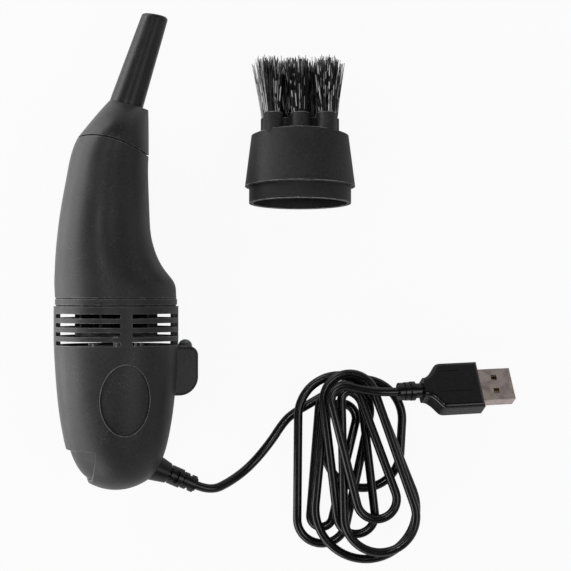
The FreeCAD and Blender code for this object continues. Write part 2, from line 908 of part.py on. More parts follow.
def make_power_button():
    """The rear corner as a button: a skin with a flange under the lip, and a stem inside."""
    zone = button_zone(button_flange)
    skin = barrel_form(button_inset).cut(barrel_form(button_inset + button_wall)).common(zone)
    skin = skin.cut(button_zone_edge())
    level = board_top + switch_height / 2
    face = switch_offset - switch_width / 2 - plunger_depth - fit_gap
    far = Vector(-barrel_radius, -switch_middle, level)
    stem = rod(1.4 * plunger_radius, far, Vector(face, -switch_middle, level))
    return skin.fuse(stem.common(barrel_form(button_inset + button_wall / 2)))


def button_zone_edge():
    """The strip that parts the button's flange from the ribs before it."""
    reach = 2 * barrel_radius
    front = -button_front + button_flange
    return box((-reach, reach), (front, reach), (-reach, reach))


def make_circuit_board():
    """The small board on its posts."""
    half = board_width / 2
    return box((-half, half), (-board_start - board_length, -board_start),
               (board_top - board_thickness, board_top))


def make_switch_body():
    """The switch's case with the hole for its plunger."""
    low = switch_offset - switch_width / 2
    case = box((low, low + switch_width),
               (-switch_middle - switch_length / 2, -switch_middle + switch_length / 2),
               (board_top, board_top + switch_height))
    level = board_top + switch_height / 2
    start = Vector(low - overrun, -switch_middle, level)
    return case.cut(rod(plunger_radius + fit_gap, start,
                        Vector(low + plunger_depth + button_travel, -switch_middle, level)))


def make_switch_plunger():
    """The plunger between the switch and the button's stem."""
    low = switch_offset - switch_width / 2
    level = board_top + switch_height / 2
    return rod(plunger_radius, Vector(low - plunger_depth, -switch_middle, level),
               Vector(low + plunger_depth - fit_gap, -switch_middle, level))


def make_lamp_resistor():
    """The resistor beside the switch on the board."""
    across = board_width / 2 - resistor_radius
    level = board_top + resistor_radius + fit_gap
    front = Vector(across, -switch_middle, level)
    return rod(resistor_radius, front - axis_y * resistor_length, front)


def lamp_form(inset):
    """The lamp housing's block with its rounded corners, set in by a distance."""
    half = lamp_height / 2 - inset
    start = barrel_radius / 2
    block = box((start, lamp_reach - inset),
                (-lamp_front - lamp_length + inset, -lamp_front - inset), (-half, half))

    def upright(edge, front):
        middle = edge.CenterOfMass
        at_side = abs(middle.x - lamp_reach + inset) < fit_gap and abs(middle.z) < fit_gap
        return at_side and (middle.y > -lamp_front - lamp_length / 2) == front

    block = block.makeFillet(lamp_corner - inset, [e for e in block.Edges if upright(e, True)])
    block = block.makeFillet(lamp_tail_round - inset, [e for e in block.Edges if upright(e, False)])
    return block


def make_lamp_housing():
    """The pod on the barrel's side, hollow towards the barrel, with the lamp's hole."""
    pod = lamp_form(0)
    rims = [edge for edge in pod.Edges
            if abs(abs(edge.CenterOfMass.z) - lamp_height / 2) < fit_gap
            and edge.CenterOfMass.x > barrel_radius / 2 + fit_gap]
    pod = pod.makeFillet(lamp_edge, rims)
    pod = pod.cut(lamp_form(lamp_wall)).cut(barrel_form(-fit_gap))
    hole_start = Vector(led_place, -lamp_front - lamp_wall - overrun, 0)
    pod = pod.cut(rod(led_radius + fit_gap, hole_start, Vector(led_place, 0, 0)))
    return max(pod.Solids, key=lambda solid: solid.Volume)


def make_led_lamp():
    """The clear lamp: a domed cylinder with a flange at its foot."""
    centre = Vector(led_place, -lamp_front + led_stand - led_radius, 0)
    foot = Vector(led_place, -lamp_front - led_depth, 0)
    body = rod(led_radius, foot, centre)
    flange = rod(led_radius + led_flange, foot, foot + axis_y * led_flange_height)
    return body.fuse(flange).fuse(Part.makeSphere(led_radius, centre)).removeSplitter()


def make_led_leads():
    """The lamp's two straight leads."""
    leads = []
    for side in (-1, 1):
        foot = Vector(led_place, -lamp_front - led_depth, side * lead_spread)
        leads.append(rod(lead_radius, foot - axis_y * lead_length, foot))
    return Part.makeCompound(leads)


def bend_path(points):
    """A wire of straight runs joined by tangent arcs as large as the runs allow."""
    edges = []
    radii = []
    start = points[0]
    for before, corner, after in zip(points, points[1:], points[2:]):
        way_in = corner - before
        way_out = after - corner
        cut_back = bend_share * min(way_in.Length, way_out.Length)
        turn = way_in.getAngle(way_out)
        radii.append(cut_back / math.tan(turn / 2))
        leave = corner - way_in.normalize() * cut_back
        join = corner + way_out.normalize() * cut_back
        inward = (way_out - way_in).normalize()
        bulge = radii[-1] * (1 / math.cos(turn / 2) - 1)
        edges.append(Part.LineSegment(start, leave).toShape())
        edges.append(Part.Arc(leave, corner + inward * bulge, join).toShape())
        start = join
    edges.append(Part.LineSegment(start, points[-1]).toShape())
    return Part.Wire(edges), radii


def bent_tube(name, points, radius):
    """A round tube along a bent path, with its radii and volume reported."""
    path, radii = bend_path(points)
    way = (points[1] - points[0]).normalize()
    section = Part.Wire([Part.Circle(points[0], way, radius).toShape()])
    tube = path.makePipeShell([section], True, False)
    expected = math.pi * radius ** 2 * path.Length
    print(name, "length", round(path.Length, 1), "radii", [round(radius, 1) for radius in radii],
          "volume share", round(tube.Volume / expected, 4))
    return tube


def make_lead_wires():
    """The wires from the lamp, the boot and the motor to the board."""
    solder = board_top + 2 * wire_radius + fit_gap
    wires = []
    for side in (-1, 1):
        level = wire_height + side * wire_pair / 2
        along_motor = motor_radius + wire_clearance + wire_radius
        lead_end = Vector(led_place, -lamp_front - led_depth - lead_length, side * lead_spread)
        wires.append(bent_tube("lamp wire", [
            lead_end,
            lead_end - axis_y * wire_first_run,
            Vector(led_place - wire_hole, -wire_hole_behind, (level + side * lead_spread) / 2),
            Vector(barrel_bore - wire_hole, -wire_hole_behind - wire_hole, level),
            Vector(along_motor, -wire_turn_behind, level),
            Vector(along_motor, motor_back - wire_first_run, level),
            Vector(terminal_reach + wire_first_run, -board_start - wire_pair, level / 2),
            Vector(board_width / 2 - 2 * wire_radius + side * wire_radius / 2,
                   -board_start - 2 * wire_pair, solder + side * wire_radius),
        ], wire_radius))
    return Part.makeCompound(wires)


def make_strain_relief():
    """The boot: inner flange, neck, flared cone and two notched collars."""
    reach = boot_cone + 2 * (boot_collar + boot_collar_gap) + boot_tip
    start, way = boot_axis()
    core = rod(boot_core, boot_point(0), boot_point(reach))
    cone = Part.makeCone(boot_cone_base, boot_cone_top, boot_cone + boot_neck,
                         boot_point(-boot_neck), way)
    cone = cone.cut(barrel_form(-fit_gap))
    neck = rod(boot_neck, boot_point(-boot_bury), boot_point(boot_cone))
    flange = rod(boot_flange, boot_point(-boot_bury - boot_flange_thickness),
                 boot_point(-boot_bury))
    body = cone.fuse(neck).fuse(core).fuse(flange)
    side = way.cross(axis_z)
    for place, radius in enumerate(boot_collar_radii):
        low = boot_cone + boot_collar_gap + place * (boot_collar + boot_collar_gap)
        collar = rod(radius, boot_point(low), boot_point(low + boot_collar))
        inner = low + (boot_collar - boot_window) / 2
        window_ring = rod(2 * radius, boot_point(inner), boot_point(inner + boot_window))
        window_ring = window_ring.cut(rod(radius - boot_window_depth, boot_point(low),
                                          boot_point(low + boot_collar)))
        turn = (axis_z, side)[place % 2]
        for face in (-1, 1):
            middle = boot_point(inner) + turn * (face * 2 * radius)
            block = rod(1.4 * radius, middle - way * boot_collar, middle + way * boot_collar)
            collar = collar.cut(window_ring.common(block))
        body = body.fuse(collar)
    return body.removeSplitter()


def make_plug_overmold():
    """The plug's moulded body with its shoulders and the ringed boot behind it."""
    half = plug_width / 2
    top = plug_height / 2
    start = plug_boot_length
    stop = start + plug_body_length
    shoulder = start + plug_shoulder
    points = []
    for along, across in ((0, 0), (0.25, 0.12), (0.62, 0.72), (1, 1)):
        width = plug_boot_radius + (half - plug_boot_radius) * across
        points.append(Vector(start + plug_shoulder * along, width, -top))
    curve = Part.BSplineCurve()
    curve.interpolate(Points=points, InitialTangent=Vector(1, 0, 0), FinalTangent=Vector(1, 0, 0))
    upper = curve.toShape()
    lower = upper.mirror(origin, axis_y)
    corners = [Vector(shoulder, half, -top), Vector(stop, half, -top),
               Vector(stop, -half, -top), Vector(shoulder, -half, -top)]
    ends = [Vector(start, -plug_boot_radius, -top), Vector(start, plug_boot_radius, -top)]
    outline = Part.Wire(Part.__sortEdges__([upper, lower] + polyline(corners) + polyline(ends)))
    body = Part.Face(outline).extrude(axis_z * plug_height)
    rims = [edge for edge in body.Edges
            if abs(abs(edge.CenterOfMass.z) - top) < fit_gap
            and start + fit_gap < edge.CenterOfMass.x]
    body = body.makeFillet(plug_edge, rims)
    core = rod_x(plug_boot_core, 0, start + plug_edge)
    body = body.fuse(core)
    step = (plug_boot_length - plug_ring_length) / plug_boot_rings
    for index in range(plug_boot_rings):
        share = index / plug_boot_rings
        radius = plug_boot_tip_radius + (plug_boot_radius - plug_boot_tip_radius) * share
        body = body.fuse(rod_x(radius, step * index, step * index + plug_ring_length * 0.7))
    for first, last, across in plug_line_places:
        line = box((start + first, start + last), (across - plug_line, across),
                   (top - plug_edge, top + plug_line_height))
        body = body.fuse(line)
    return body.cut(shell_block(fit_gap, -shell_bury)).removeSplitter()


def rod_x(radius, start, stop):
    """A cylinder along the plug's axis."""
    return rod(radius, Vector(start, 0, 0), Vector(stop, 0, 0))


plug_face = plug_boot_length + plug_body_length


def shell_block(grow, start):
    """The shell's outer block from a place behind the plug's face to its open end."""
    half = shell_width / 2 + grow
    top = shell_height / 2 + grow
    return box((plug_face + start - grow, plug_face + shell_length), (-half, half), (-top, top))


def make_plug_shell():
    """The folded metal shell with its two square holes on each wide face."""
    inner = box((plug_face - shell_bury + shell_wall, plug_face + shell_length + overrun),
                (-shell_width / 2 + shell_wall, shell_width / 2 - shell_wall),
                (-shell_height / 2 + shell_wall, shell_height / 2 - shell_wall))
    shell = shell_block(0, -shell_bury).cut(inner)
    for side in (-1, 1):
        middle = side * shell_hole_spread / 2
        start = plug_face + shell_hole_middle - shell_hole / 2
        shell = shell.cut(box((start, start + shell_hole),
                              (middle - shell_hole / 2, middle + shell_hole / 2),
                              (-shell_height, shell_height)))
    return shell


def make_plug_tongue():
    """The plastic tongue inside the shell."""
    low = -shell_height / 2 + shell_wall
    back = plug_face - shell_bury + shell_wall
    tongue = box((back, back + tongue_length + shell_bury), (-tongue_width / 2, tongue_width / 2),
                 (low, low + tongue_height))
    return tongue


def make_plug_contacts():
    """Four contact strips on the tongue."""
    level = -shell_height / 2 + shell_wall + tongue_height
    strips = []
    for place in contact_pitches:
        strips.append(box((plug_face + contact_start, plug_face + shell_length - 2 * contact_start),
                          (place - contact_width / 2, place + contact_width / 2),
                          (level, level + contact_height)))
    return Part.makeCompound(strips)


def plug_to_place(shape):
    """Turns the plug about its own axis, tips its nose down and carries it to the cord's end."""
    placed = shape.copy()
    placed.rotate(origin, Vector(1, 0, 0), plug_roll)
    placed.rotate(origin, axis_y, plug_pitch)
    placed.rotate(origin, axis_z, plug_yaw)
    placed.translate(plug_start)
    return placed


def plug_way():
    """The plug's direction, from its boot to its shell."""
    turn = FreeCAD.Rotation(axis_z, plug_yaw).multiply(FreeCAD.Rotation(axis_y, plug_pitch))
    return turn.multVec(Vector(1, 0, 0))


def coil_run(first, second):
    """The straight run between two bends that both lie on its right: ends, way and outside."""
    step = Vector(second[0] - first[0], second[1] - first[1], 0)
    lead = (first[2] - second[2]) / step.Length
    ahead = step / step.Length
    out = ahead * lead + axis_z.cross(ahead) * math.sqrt(1 - lead * lead)
    start = Vector(first[0], first[1], 0) + out * first[2]
    stop = Vector(second[0], second[1], 0) + out * second[2]
    return start, stop, out.cross(axis_z), out


def coil_level(bend):
    """The height of a bend's layer over the surface."""
    return axis_z * (cord_floor + coil_rise * bend[3])


def coil_entry():
    """Where the coil starts and its direction there."""
    return (coil_start + coil_level(coil_bends[0]),
            coil_run((coil_start.x, coil_start.y, 0), coil_bends[0])[2])


def coil_exit():
    """Where the last bend lets the coil go and its direction there, towards the plug."""
    stop = coil_stop + coil_level(coil_bends[-1])
    return stop, (tail_bend() - stop).normalize()


def coil_stations():
    """Points and directions along the coil: the middle of each bend and of each run."""
    start, way = coil_entry()
    stations = [(start + way * coil_end_run, way)]
    came = way.cross(axis_z) * -1
    for bend, after in zip(coil_bends, coil_bends[1:]):
        first, last, way, goes = coil_run(bend, after)
        turn = math.atan2(came.cross(goes).z, came.dot(goes)) % (2 * math.pi) - 2 * math.pi
        out = came * math.cos(turn / 2) + axis_z.cross(came) * math.sin(turn / 2)
        middle = Vector(bend[0], bend[1], 0) + coil_level(bend)
        stations.append((middle + out * bend[2], out.cross(axis_z)))
        stations.append(((first + last) / 2 + coil_level(after), way))
        came = goes
    stations.append(coil_exit())
    return stations


def biarc_corners(start, way_in, stop, way_out):
    """The corners and the middle of two arcs that join two points with their directions."""
    span = stop - start
    spread = 2 * (1 - way_in.dot(way_out))
    along = span.dot(way_in + way_out)
    reach = (math.sqrt(along ** 2 + spread * span.dot(span)) - along) / spread
    lead = start + way_in * reach
    trail = stop - way_out * reach
    return lead, (lead + trail) / 2, trail


def tangent_arc(start, corner, stop):
    """The arc that leaves one point and reaches another along lines through a corner."""
    way_in = (corner - start).normalize()
    way_out = (stop - corner).normalize()
    turn = way_in.getAngle(way_out)
    radius = (corner - start).Length / math.tan(turn / 2)
    bulge = radius * (1 / math.cos(turn / 2) - 1)
    inward = (way_out - way_in).normalize()
    return Part.Arc(start, corner + inward * bulge, stop).toShape(), radius


def least_gap(edges):
    """The least distance between two places of a wire that are apart along it."""
    points = []
    places = []
    done = 0
    for edge in edges:
        count = max(2, math.ceil(edge.Length / coil_sample))
        for step in range(count):
            points.append(edge.valueAt(edge.getParameterByLength(edge.Length * step / count)))
            places.append(done + edge.Length * step / count)
        done += edge.Length
    least = done
    for index, point in enumerate(points):
        for other in range(index + 1, len(points)):
            if places[other] - places[index] > coil_apart:
                least = min(least, point.distanceToPoint(points[other]))
    return least


def make_coil():
    """The coil: one tube wound over its bends, climbing a layer where the spiral turns back."""
    stations = coil_stations()
    start, way = coil_entry()
    edges = [Part.LineSegment(start, stations[0][0]).toShape()]
    radii = []
    for (before, way_in), (after, way_out) in zip(stations, stations[1:]):
        lead, middle, trail = biarc_corners(before, way_in, after, way_out)
        for arc_ends in ((before, lead, middle), (middle, trail, after)):
            edge, radius = tangent_arc(*arc_ends)
            edges.append(edge)
            radii.append(radius)
    stop, way_out = coil_exit()
    edges.append(Part.LineSegment(stop, stop + way_out * coil_end_run).toShape())
    path = Part.Wire(edges)
    section = Part.Wire([Part.Circle(start, way, cord_radius).toShape()])
    tube = path.makePipeShell([section], True, False)
    expected = math.pi * cord_radius ** 2 * path.Length
    print("cord coil length", round(path.Length, 1), "least radius", round(min(radii), 2),
          "least gap", round(least_gap(edges) - 2 * cord_radius, 2),
          "volume share", round(tube.Volume / expected, 4))
    return tube


def tail_bend():
    """The one bend between the coil and the plug."""
    return plug_start - plug_way() * cord_exit_run


def brush_oval(out, half_width, half_height):
    """A level oval of the brush head, its wide way along X."""
    return (Vector(0, out, 0), half_width, half_height, 0)


def make_brush_body():
    """The brush head: spigot, tapering skirt, crowned top with an air slot, and tuft bosses."""
    rim_width = mouth_half_height
    rim_height = mouth_half_width
    top = brush_skirt_length
    skirt = oval_loft([brush_oval(0, rim_width, rim_height),
                       brush_oval(top, brush_top_half_width, brush_top_half_height)], 0)
    sagitta = brush_crown
    crown_radius = (brush_top_half_width ** 2 + sagitta ** 2) / (2 * sagitta)
    crown = Part.makeCylinder(crown_radius, 4 * rim_height,
                              Vector(0, top - crown_radius, -2 * rim_height), axis_z)
    skirt = skirt.common(crown)
    spigot_inset = duct_wall + fit_gap
    spigot_width = rim_width - spigot_inset
    spigot_height = rim_height - spigot_inset
    spigot = oval_loft([brush_oval(-brush_spigot_length, spigot_width, spigot_height),
                        brush_oval(brush_wall, spigot_width, spigot_height)], 0)
    hollow = oval_loft([brush_oval(-brush_spigot_length, spigot_width, spigot_height),
                        brush_oval(0, spigot_width, spigot_height),
                        brush_oval(top - brush_crown - 2 * brush_wall, brush_top_half_width,
                                   brush_top_half_height)], brush_wall)
    body = skirt.fuse(spigot).cut(hollow)
    half = brush_slot_width / 2
    level = brush_slot_height / 2
    body = body.cut(box((-half, half), (top / 2, top + overrun), (-level, level)))
    for place, height, length in tuft_places():
        foot = Vector(place, top - brush_crown - brush_wall, height)
        body = body.fuse(rod(tuft_boss_radius, foot, Vector(place, length, height)))
    for place, height, length in tuft_places():
        hole = Vector(place, length - tuft_bury, height)
        body = body.cut(rod(tuft_root_radius + fit_gap, hole, Vector(place, 2 * top, height)))
    return body


def tuft_places():
    """Across, height and boss end of each tuft."""
    length = brush_skirt_length + tuft_boss_length
    places = [(place, tuft_row, length) for place in tuft_front_places]
    places += [(place, -tuft_row, length) for place in tuft_back_places]
    return places


def make_bristle_tufts():
    """Each tuft as one fanned bundle seated in its boss."""
    tufts = []
    for place, height, length in tuft_places():
        foot = Vector(place, length - tuft_bury, height)
        mouth = Vector(place, length, height)
        lean = math.radians(tuft_fan * place / tuft_front_places[-1])
        rise = math.tan(math.radians(tuft_rest_lean)) if height < 0 else 0
        way = Vector(math.sin(lean), math.cos(lean), rise)
        root = rod(tuft_root_radius, foot, mouth)
        spread = Part.makeCone(tuft_root_radius, tuft_tip_radius, tuft_length, mouth, way)
        tufts.append(root.fuse(spread))
    return Part.makeCompound(tufts)


def brush_to_place(shape):
    """Rests the brush head on its rim and its bristles and carries it to its place."""
    placed = shape.copy()
    placed.rotate(origin, Vector(1, 0, 0), -brush_tilt)
    rise = mouth_half_width * math.cos(math.radians(brush_tilt))
    placed.translate(Vector(brush_x, brush_y, rise))
    return placed


def to_place(shape):
    """Carries a piece drawn about the Y axis to the barrel's place, unrolled."""
    placed = shape.copy()
    placed.translate(Vector(barrel_x, barrel_y, rim_radius))
    return placed


def roll_to_place(shape):
    """Rolls a piece of the motor unit about the barrel's axis and carries it to its place."""
    rolled = shape.copy()
    rolled.rotate(origin, axis_y, roll_angle)
    return to_place(rolled)


def boot_exit():
    """Where the cord leaves the boot, and its direction there."""
    turn = FreeCAD.Rotation(axis_y, roll_angle)
    reach = boot_cone + 2 * (boot_collar + boot_collar_gap) + boot_tip
    place = Vector(barrel_x, barrel_y, rim_radius)
    return turn.multVec(boot_point(reach)) + place, turn.multVec(boot_axis()[1])


def write_parts(parts):
    """One file for each named piece."""
    os.makedirs("parts", exist_ok=True)
    for name, shape in parts.items():
        shape.exportStep(os.path.join("parts", name + ".step"))


def own_middle(pieces):
    """The bottom middle of the pieces' common box."""
    whole = FreeCAD.BoundBox()
    for shape in pieces:
        whole.add(shape.optimalBoundingBox(False))
    return Vector(whole.Center.x, whole.Center.y, whole.ZMin)


housing = housing_shell()
reach = 4 * barrel_length
floor_cut = box((-reach, reach), (-reach, reach), (-barrel_radius, 0))
barrel_pieces = {
    "front_housing": make_duct(),
    "nozzle_adapter": make_adapter(),
    "nozzle_tube": make_nozzle_tube(),
}
rolled_pieces = {
    "filter_frame": make_filter_frame(),
    "filter_bag": make_filter_bag(),
    "inlet_plate": make_inlet_plate(),
    "upper_housing": make_upper_housing(housing),
    "lower_housing": make_lower_housing(housing),
    "housing_screws": make_housing_screws(),
    "impeller": make_impeller(),
    "motor_bracket": make_motor_bracket(),
    "motor_screws": make_motor_screws(),
    "motor_can": make_motor_can(),
    "motor_bushes": make_motor_bushes(),
    "motor_end_cap": make_motor_end_cap(),
    "motor_terminals": make_motor_terminals(),
    "motor_magnets": make_magnets(),
    "armature_core": make_armature_core(),
    "armature_windings": make_windings(),
    "commutator": make_commutator(),
    "motor_shaft": make_motor_shaft(),
    "power_button": make_power_button(),
    "circuit_board": make_circuit_board(),
    "switch_body": make_switch_body(),
    "switch_plunger": make_switch_plunger(),
    "lamp_resistor": make_lamp_resistor(),
    "lamp_housing": make_lamp_housing(),
    "led_lamp": make_led_lamp(),
    "led_leads": make_led_leads(),
    "lead_wires": make_lead_wires(),
    "strain_relief": make_strain_relief(),
}
brush_pieces = {
    "brush_body": make_brush_body(),
    "bristle_tufts": make_bristle_tufts(),
}
plug_pieces = {
    "plug_overmold": make_plug_overmold(),
    "plug_shell": make_plug_shell(),
    "plug_tongue": make_plug_tongue(),
    "plug_contacts": make_plug_contacts(),
}
parts = {name: to_place(shape) for name, shape in barrel_pieces.items()}
parts.update({name: roll_to_place(shape) for name, shape in rolled_pieces.items()})
parts["lower_housing"] = parts["lower_housing"].cut(floor_cut)
parts.update({name: brush_to_place(shape) for name, shape in brush_pieces.items()})
middle = own_middle(parts.values())
parts.update({name: plug_to_place(shape) for name, shape in plug_pieces.items()})
exit_point, exit_way = boot_exit()
entry_point, entry_way = coil_entry()
lead_points = [exit_point, exit_point + exit_way * cord_exit_run] + lead_route
lead_points += [entry_point - entry_way * cord_exit_run, entry_point]
parts["cord_lead"] = bent_tube("cord lead", lead_points, cord_radius)
leave_point, leave_way = coil_exit()
tail_points = [leave_point + leave_way * coil_end_run, tail_bend(), plug_start]
parts["cord_tail"] = bent_tube("cord tail", tail_points, cord_radius)
parts["cord_coil"] = make_coil()
for name, shape in parts.items():
    shape.translate(-middle)
    box_now = shape.BoundBox
    print(name, len(shape.Solids), round(shape.Volume, 1), shape.isValid(),
          [round(value, 1) for value in (box_now.XMin, box_now.XMax, box_now.YMin, box_now.YMax,
                                         box_now.ZMin, box_now.ZMax)])
print("picture middle", [round(-value, 3) for value in middle])
write_parts(parts)
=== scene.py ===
"""Looks of a small hand vacuum for a desk, with its coiled cord, its plug and its brush head."""
import logging
import math
import random
from dataclasses import dataclass
from enum import Enum

import bpy
from mathutils import Matrix, Vector


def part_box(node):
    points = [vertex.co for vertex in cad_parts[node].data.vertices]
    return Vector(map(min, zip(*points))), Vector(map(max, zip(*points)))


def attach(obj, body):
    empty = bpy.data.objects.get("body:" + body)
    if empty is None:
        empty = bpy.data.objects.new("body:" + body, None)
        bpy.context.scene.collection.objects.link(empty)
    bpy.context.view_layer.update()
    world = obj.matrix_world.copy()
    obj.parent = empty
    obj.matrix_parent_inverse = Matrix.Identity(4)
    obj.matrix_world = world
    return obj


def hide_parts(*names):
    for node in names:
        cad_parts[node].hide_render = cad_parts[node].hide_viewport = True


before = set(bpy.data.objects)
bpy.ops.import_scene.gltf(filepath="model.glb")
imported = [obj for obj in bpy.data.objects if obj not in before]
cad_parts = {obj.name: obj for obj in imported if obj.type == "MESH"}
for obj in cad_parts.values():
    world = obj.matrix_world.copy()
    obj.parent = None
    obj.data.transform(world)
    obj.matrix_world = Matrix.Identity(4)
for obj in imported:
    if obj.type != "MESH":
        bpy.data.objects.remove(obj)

log = logging.getLogger("desk vacuum")

# The picture's middle in the model, in millimetres
PICTURE_MIDDLE = Vector((27.675, -10.811, 0.0))

# Metres in a millimetre
MM = 0.001

# Radians from one strand to the next, so that they fill a round boss evenly
GOLDEN_ANGLE = 2.399963


def at(x: float, y: float, z: float) -> Vector:
    """Turns a place in picture millimetres to metres in the model."""
    return (Vector((x, y, z)) + PICTURE_MIDDLE) * MM


def linear(code: str) -> tuple[float, float, float, float]:
    """Turns an sRGB hex colour to linear light.

    Args:
        code: the colour as six hex digits after a hash sign.

    Returns:
        Red, green, blue and a full alpha.
    """
    parts = [int(code[place:place + 2], 16) / 255 for place in (1, 3, 5)]
    parts = [c / 12.92 if c <= 0.04045 else ((c + 0.055) / 1.055) ** 2.4 for c in parts]
    return (parts[0], parts[1], parts[2], 1.0)


def add(tree: bpy.types.NodeTree, kind: str, links: dict | None = None, **settings) -> bpy.types.Node:
    """Adds a node with its settings and its links.

    Args:
        tree: the tree that takes the node.
        kind: the node's type.
        links: for each input, by name or number, the socket that feeds it or its value.
        settings: the node's own properties.

    Returns:
        The new node.
    """
    node = tree.nodes.new(kind)
    for name, value in settings.items():
        setattr(node, name, value)
    for name, value in (links or {}).items():
        if isinstance(value, bpy.types.NodeSocket):
            tree.links.new(value, node.inputs[name])
        else:
            node.inputs[name].default_value = value
    return node


def grain(size: float) -> float:
    """The scale of a noise whose grains are this many millimetres wide."""
    return 1 / (size * MM)


# Finishes

@dataclass(frozen=True)
class Finish:
    """A real material: its name, its colour and the gloss of its surface."""

    name: str
    colour: str
    roughness: float
    ior: float = 1.5
    metallic: float = 0.0

    def material(self) -> bpy.types.Material:
        """Makes the material, or gives the one made before.

        Returns:
            The material under the finish's name.
        """
        made = bpy.data.materials.get(self.name)
        if made:
            return made
        made = bpy.data.materials.new(self.name)
        made.use_nodes = True
        tree = made.node_tree
        tree.nodes.clear()
        shader = add(tree, "ShaderNodeBsdfPrincipled", {
            "Base Color": linear(self.colour), "Roughness": self.roughness,
            "Metallic": self.metallic})
        if not self.metallic:
            shader.inputs["IOR"].default_value = self.ior
        place = add(tree, "ShaderNodeTexCoord").outputs["Object"]
        self.detail(tree, shader, place)
        add(tree, "ShaderNodeOutputMaterial", {"Surface": shader.outputs["BSDF"]})
        return made

    def detail(self, tree: bpy.types.NodeTree, shader: bpy.types.Node,
               place: bpy.types.NodeSocket) -> None:
        """Adds what the surface shows close up.

        Args:
            tree: the material's tree.
            shader: its surface shader.
            place: the object's own coordinates.
        """

    def blend(self, tree: bpy.types.NodeTree, shader: bpy.types.Node,
              share: bpy.types.NodeSocket, second: str) -> None:
        """Mixes a second colour into the base colour by a share.

        Args:
            tree: the material's tree.
            shader: its surface shader, whose base colour is taken over.
            share: where the second colour shows, from 0 to 1.
            second: the second colour, in hex.
        """
        base = shader.inputs["Base Color"]
        first = base.links[0].from_socket if base.is_linked else tuple(base.default_value)
        mix = add(tree, "ShaderNodeMix", {0: share, 6: first, 7: linear(second)},
                  data_type="RGBA")
        tree.links.new(mix.outputs[2], base)


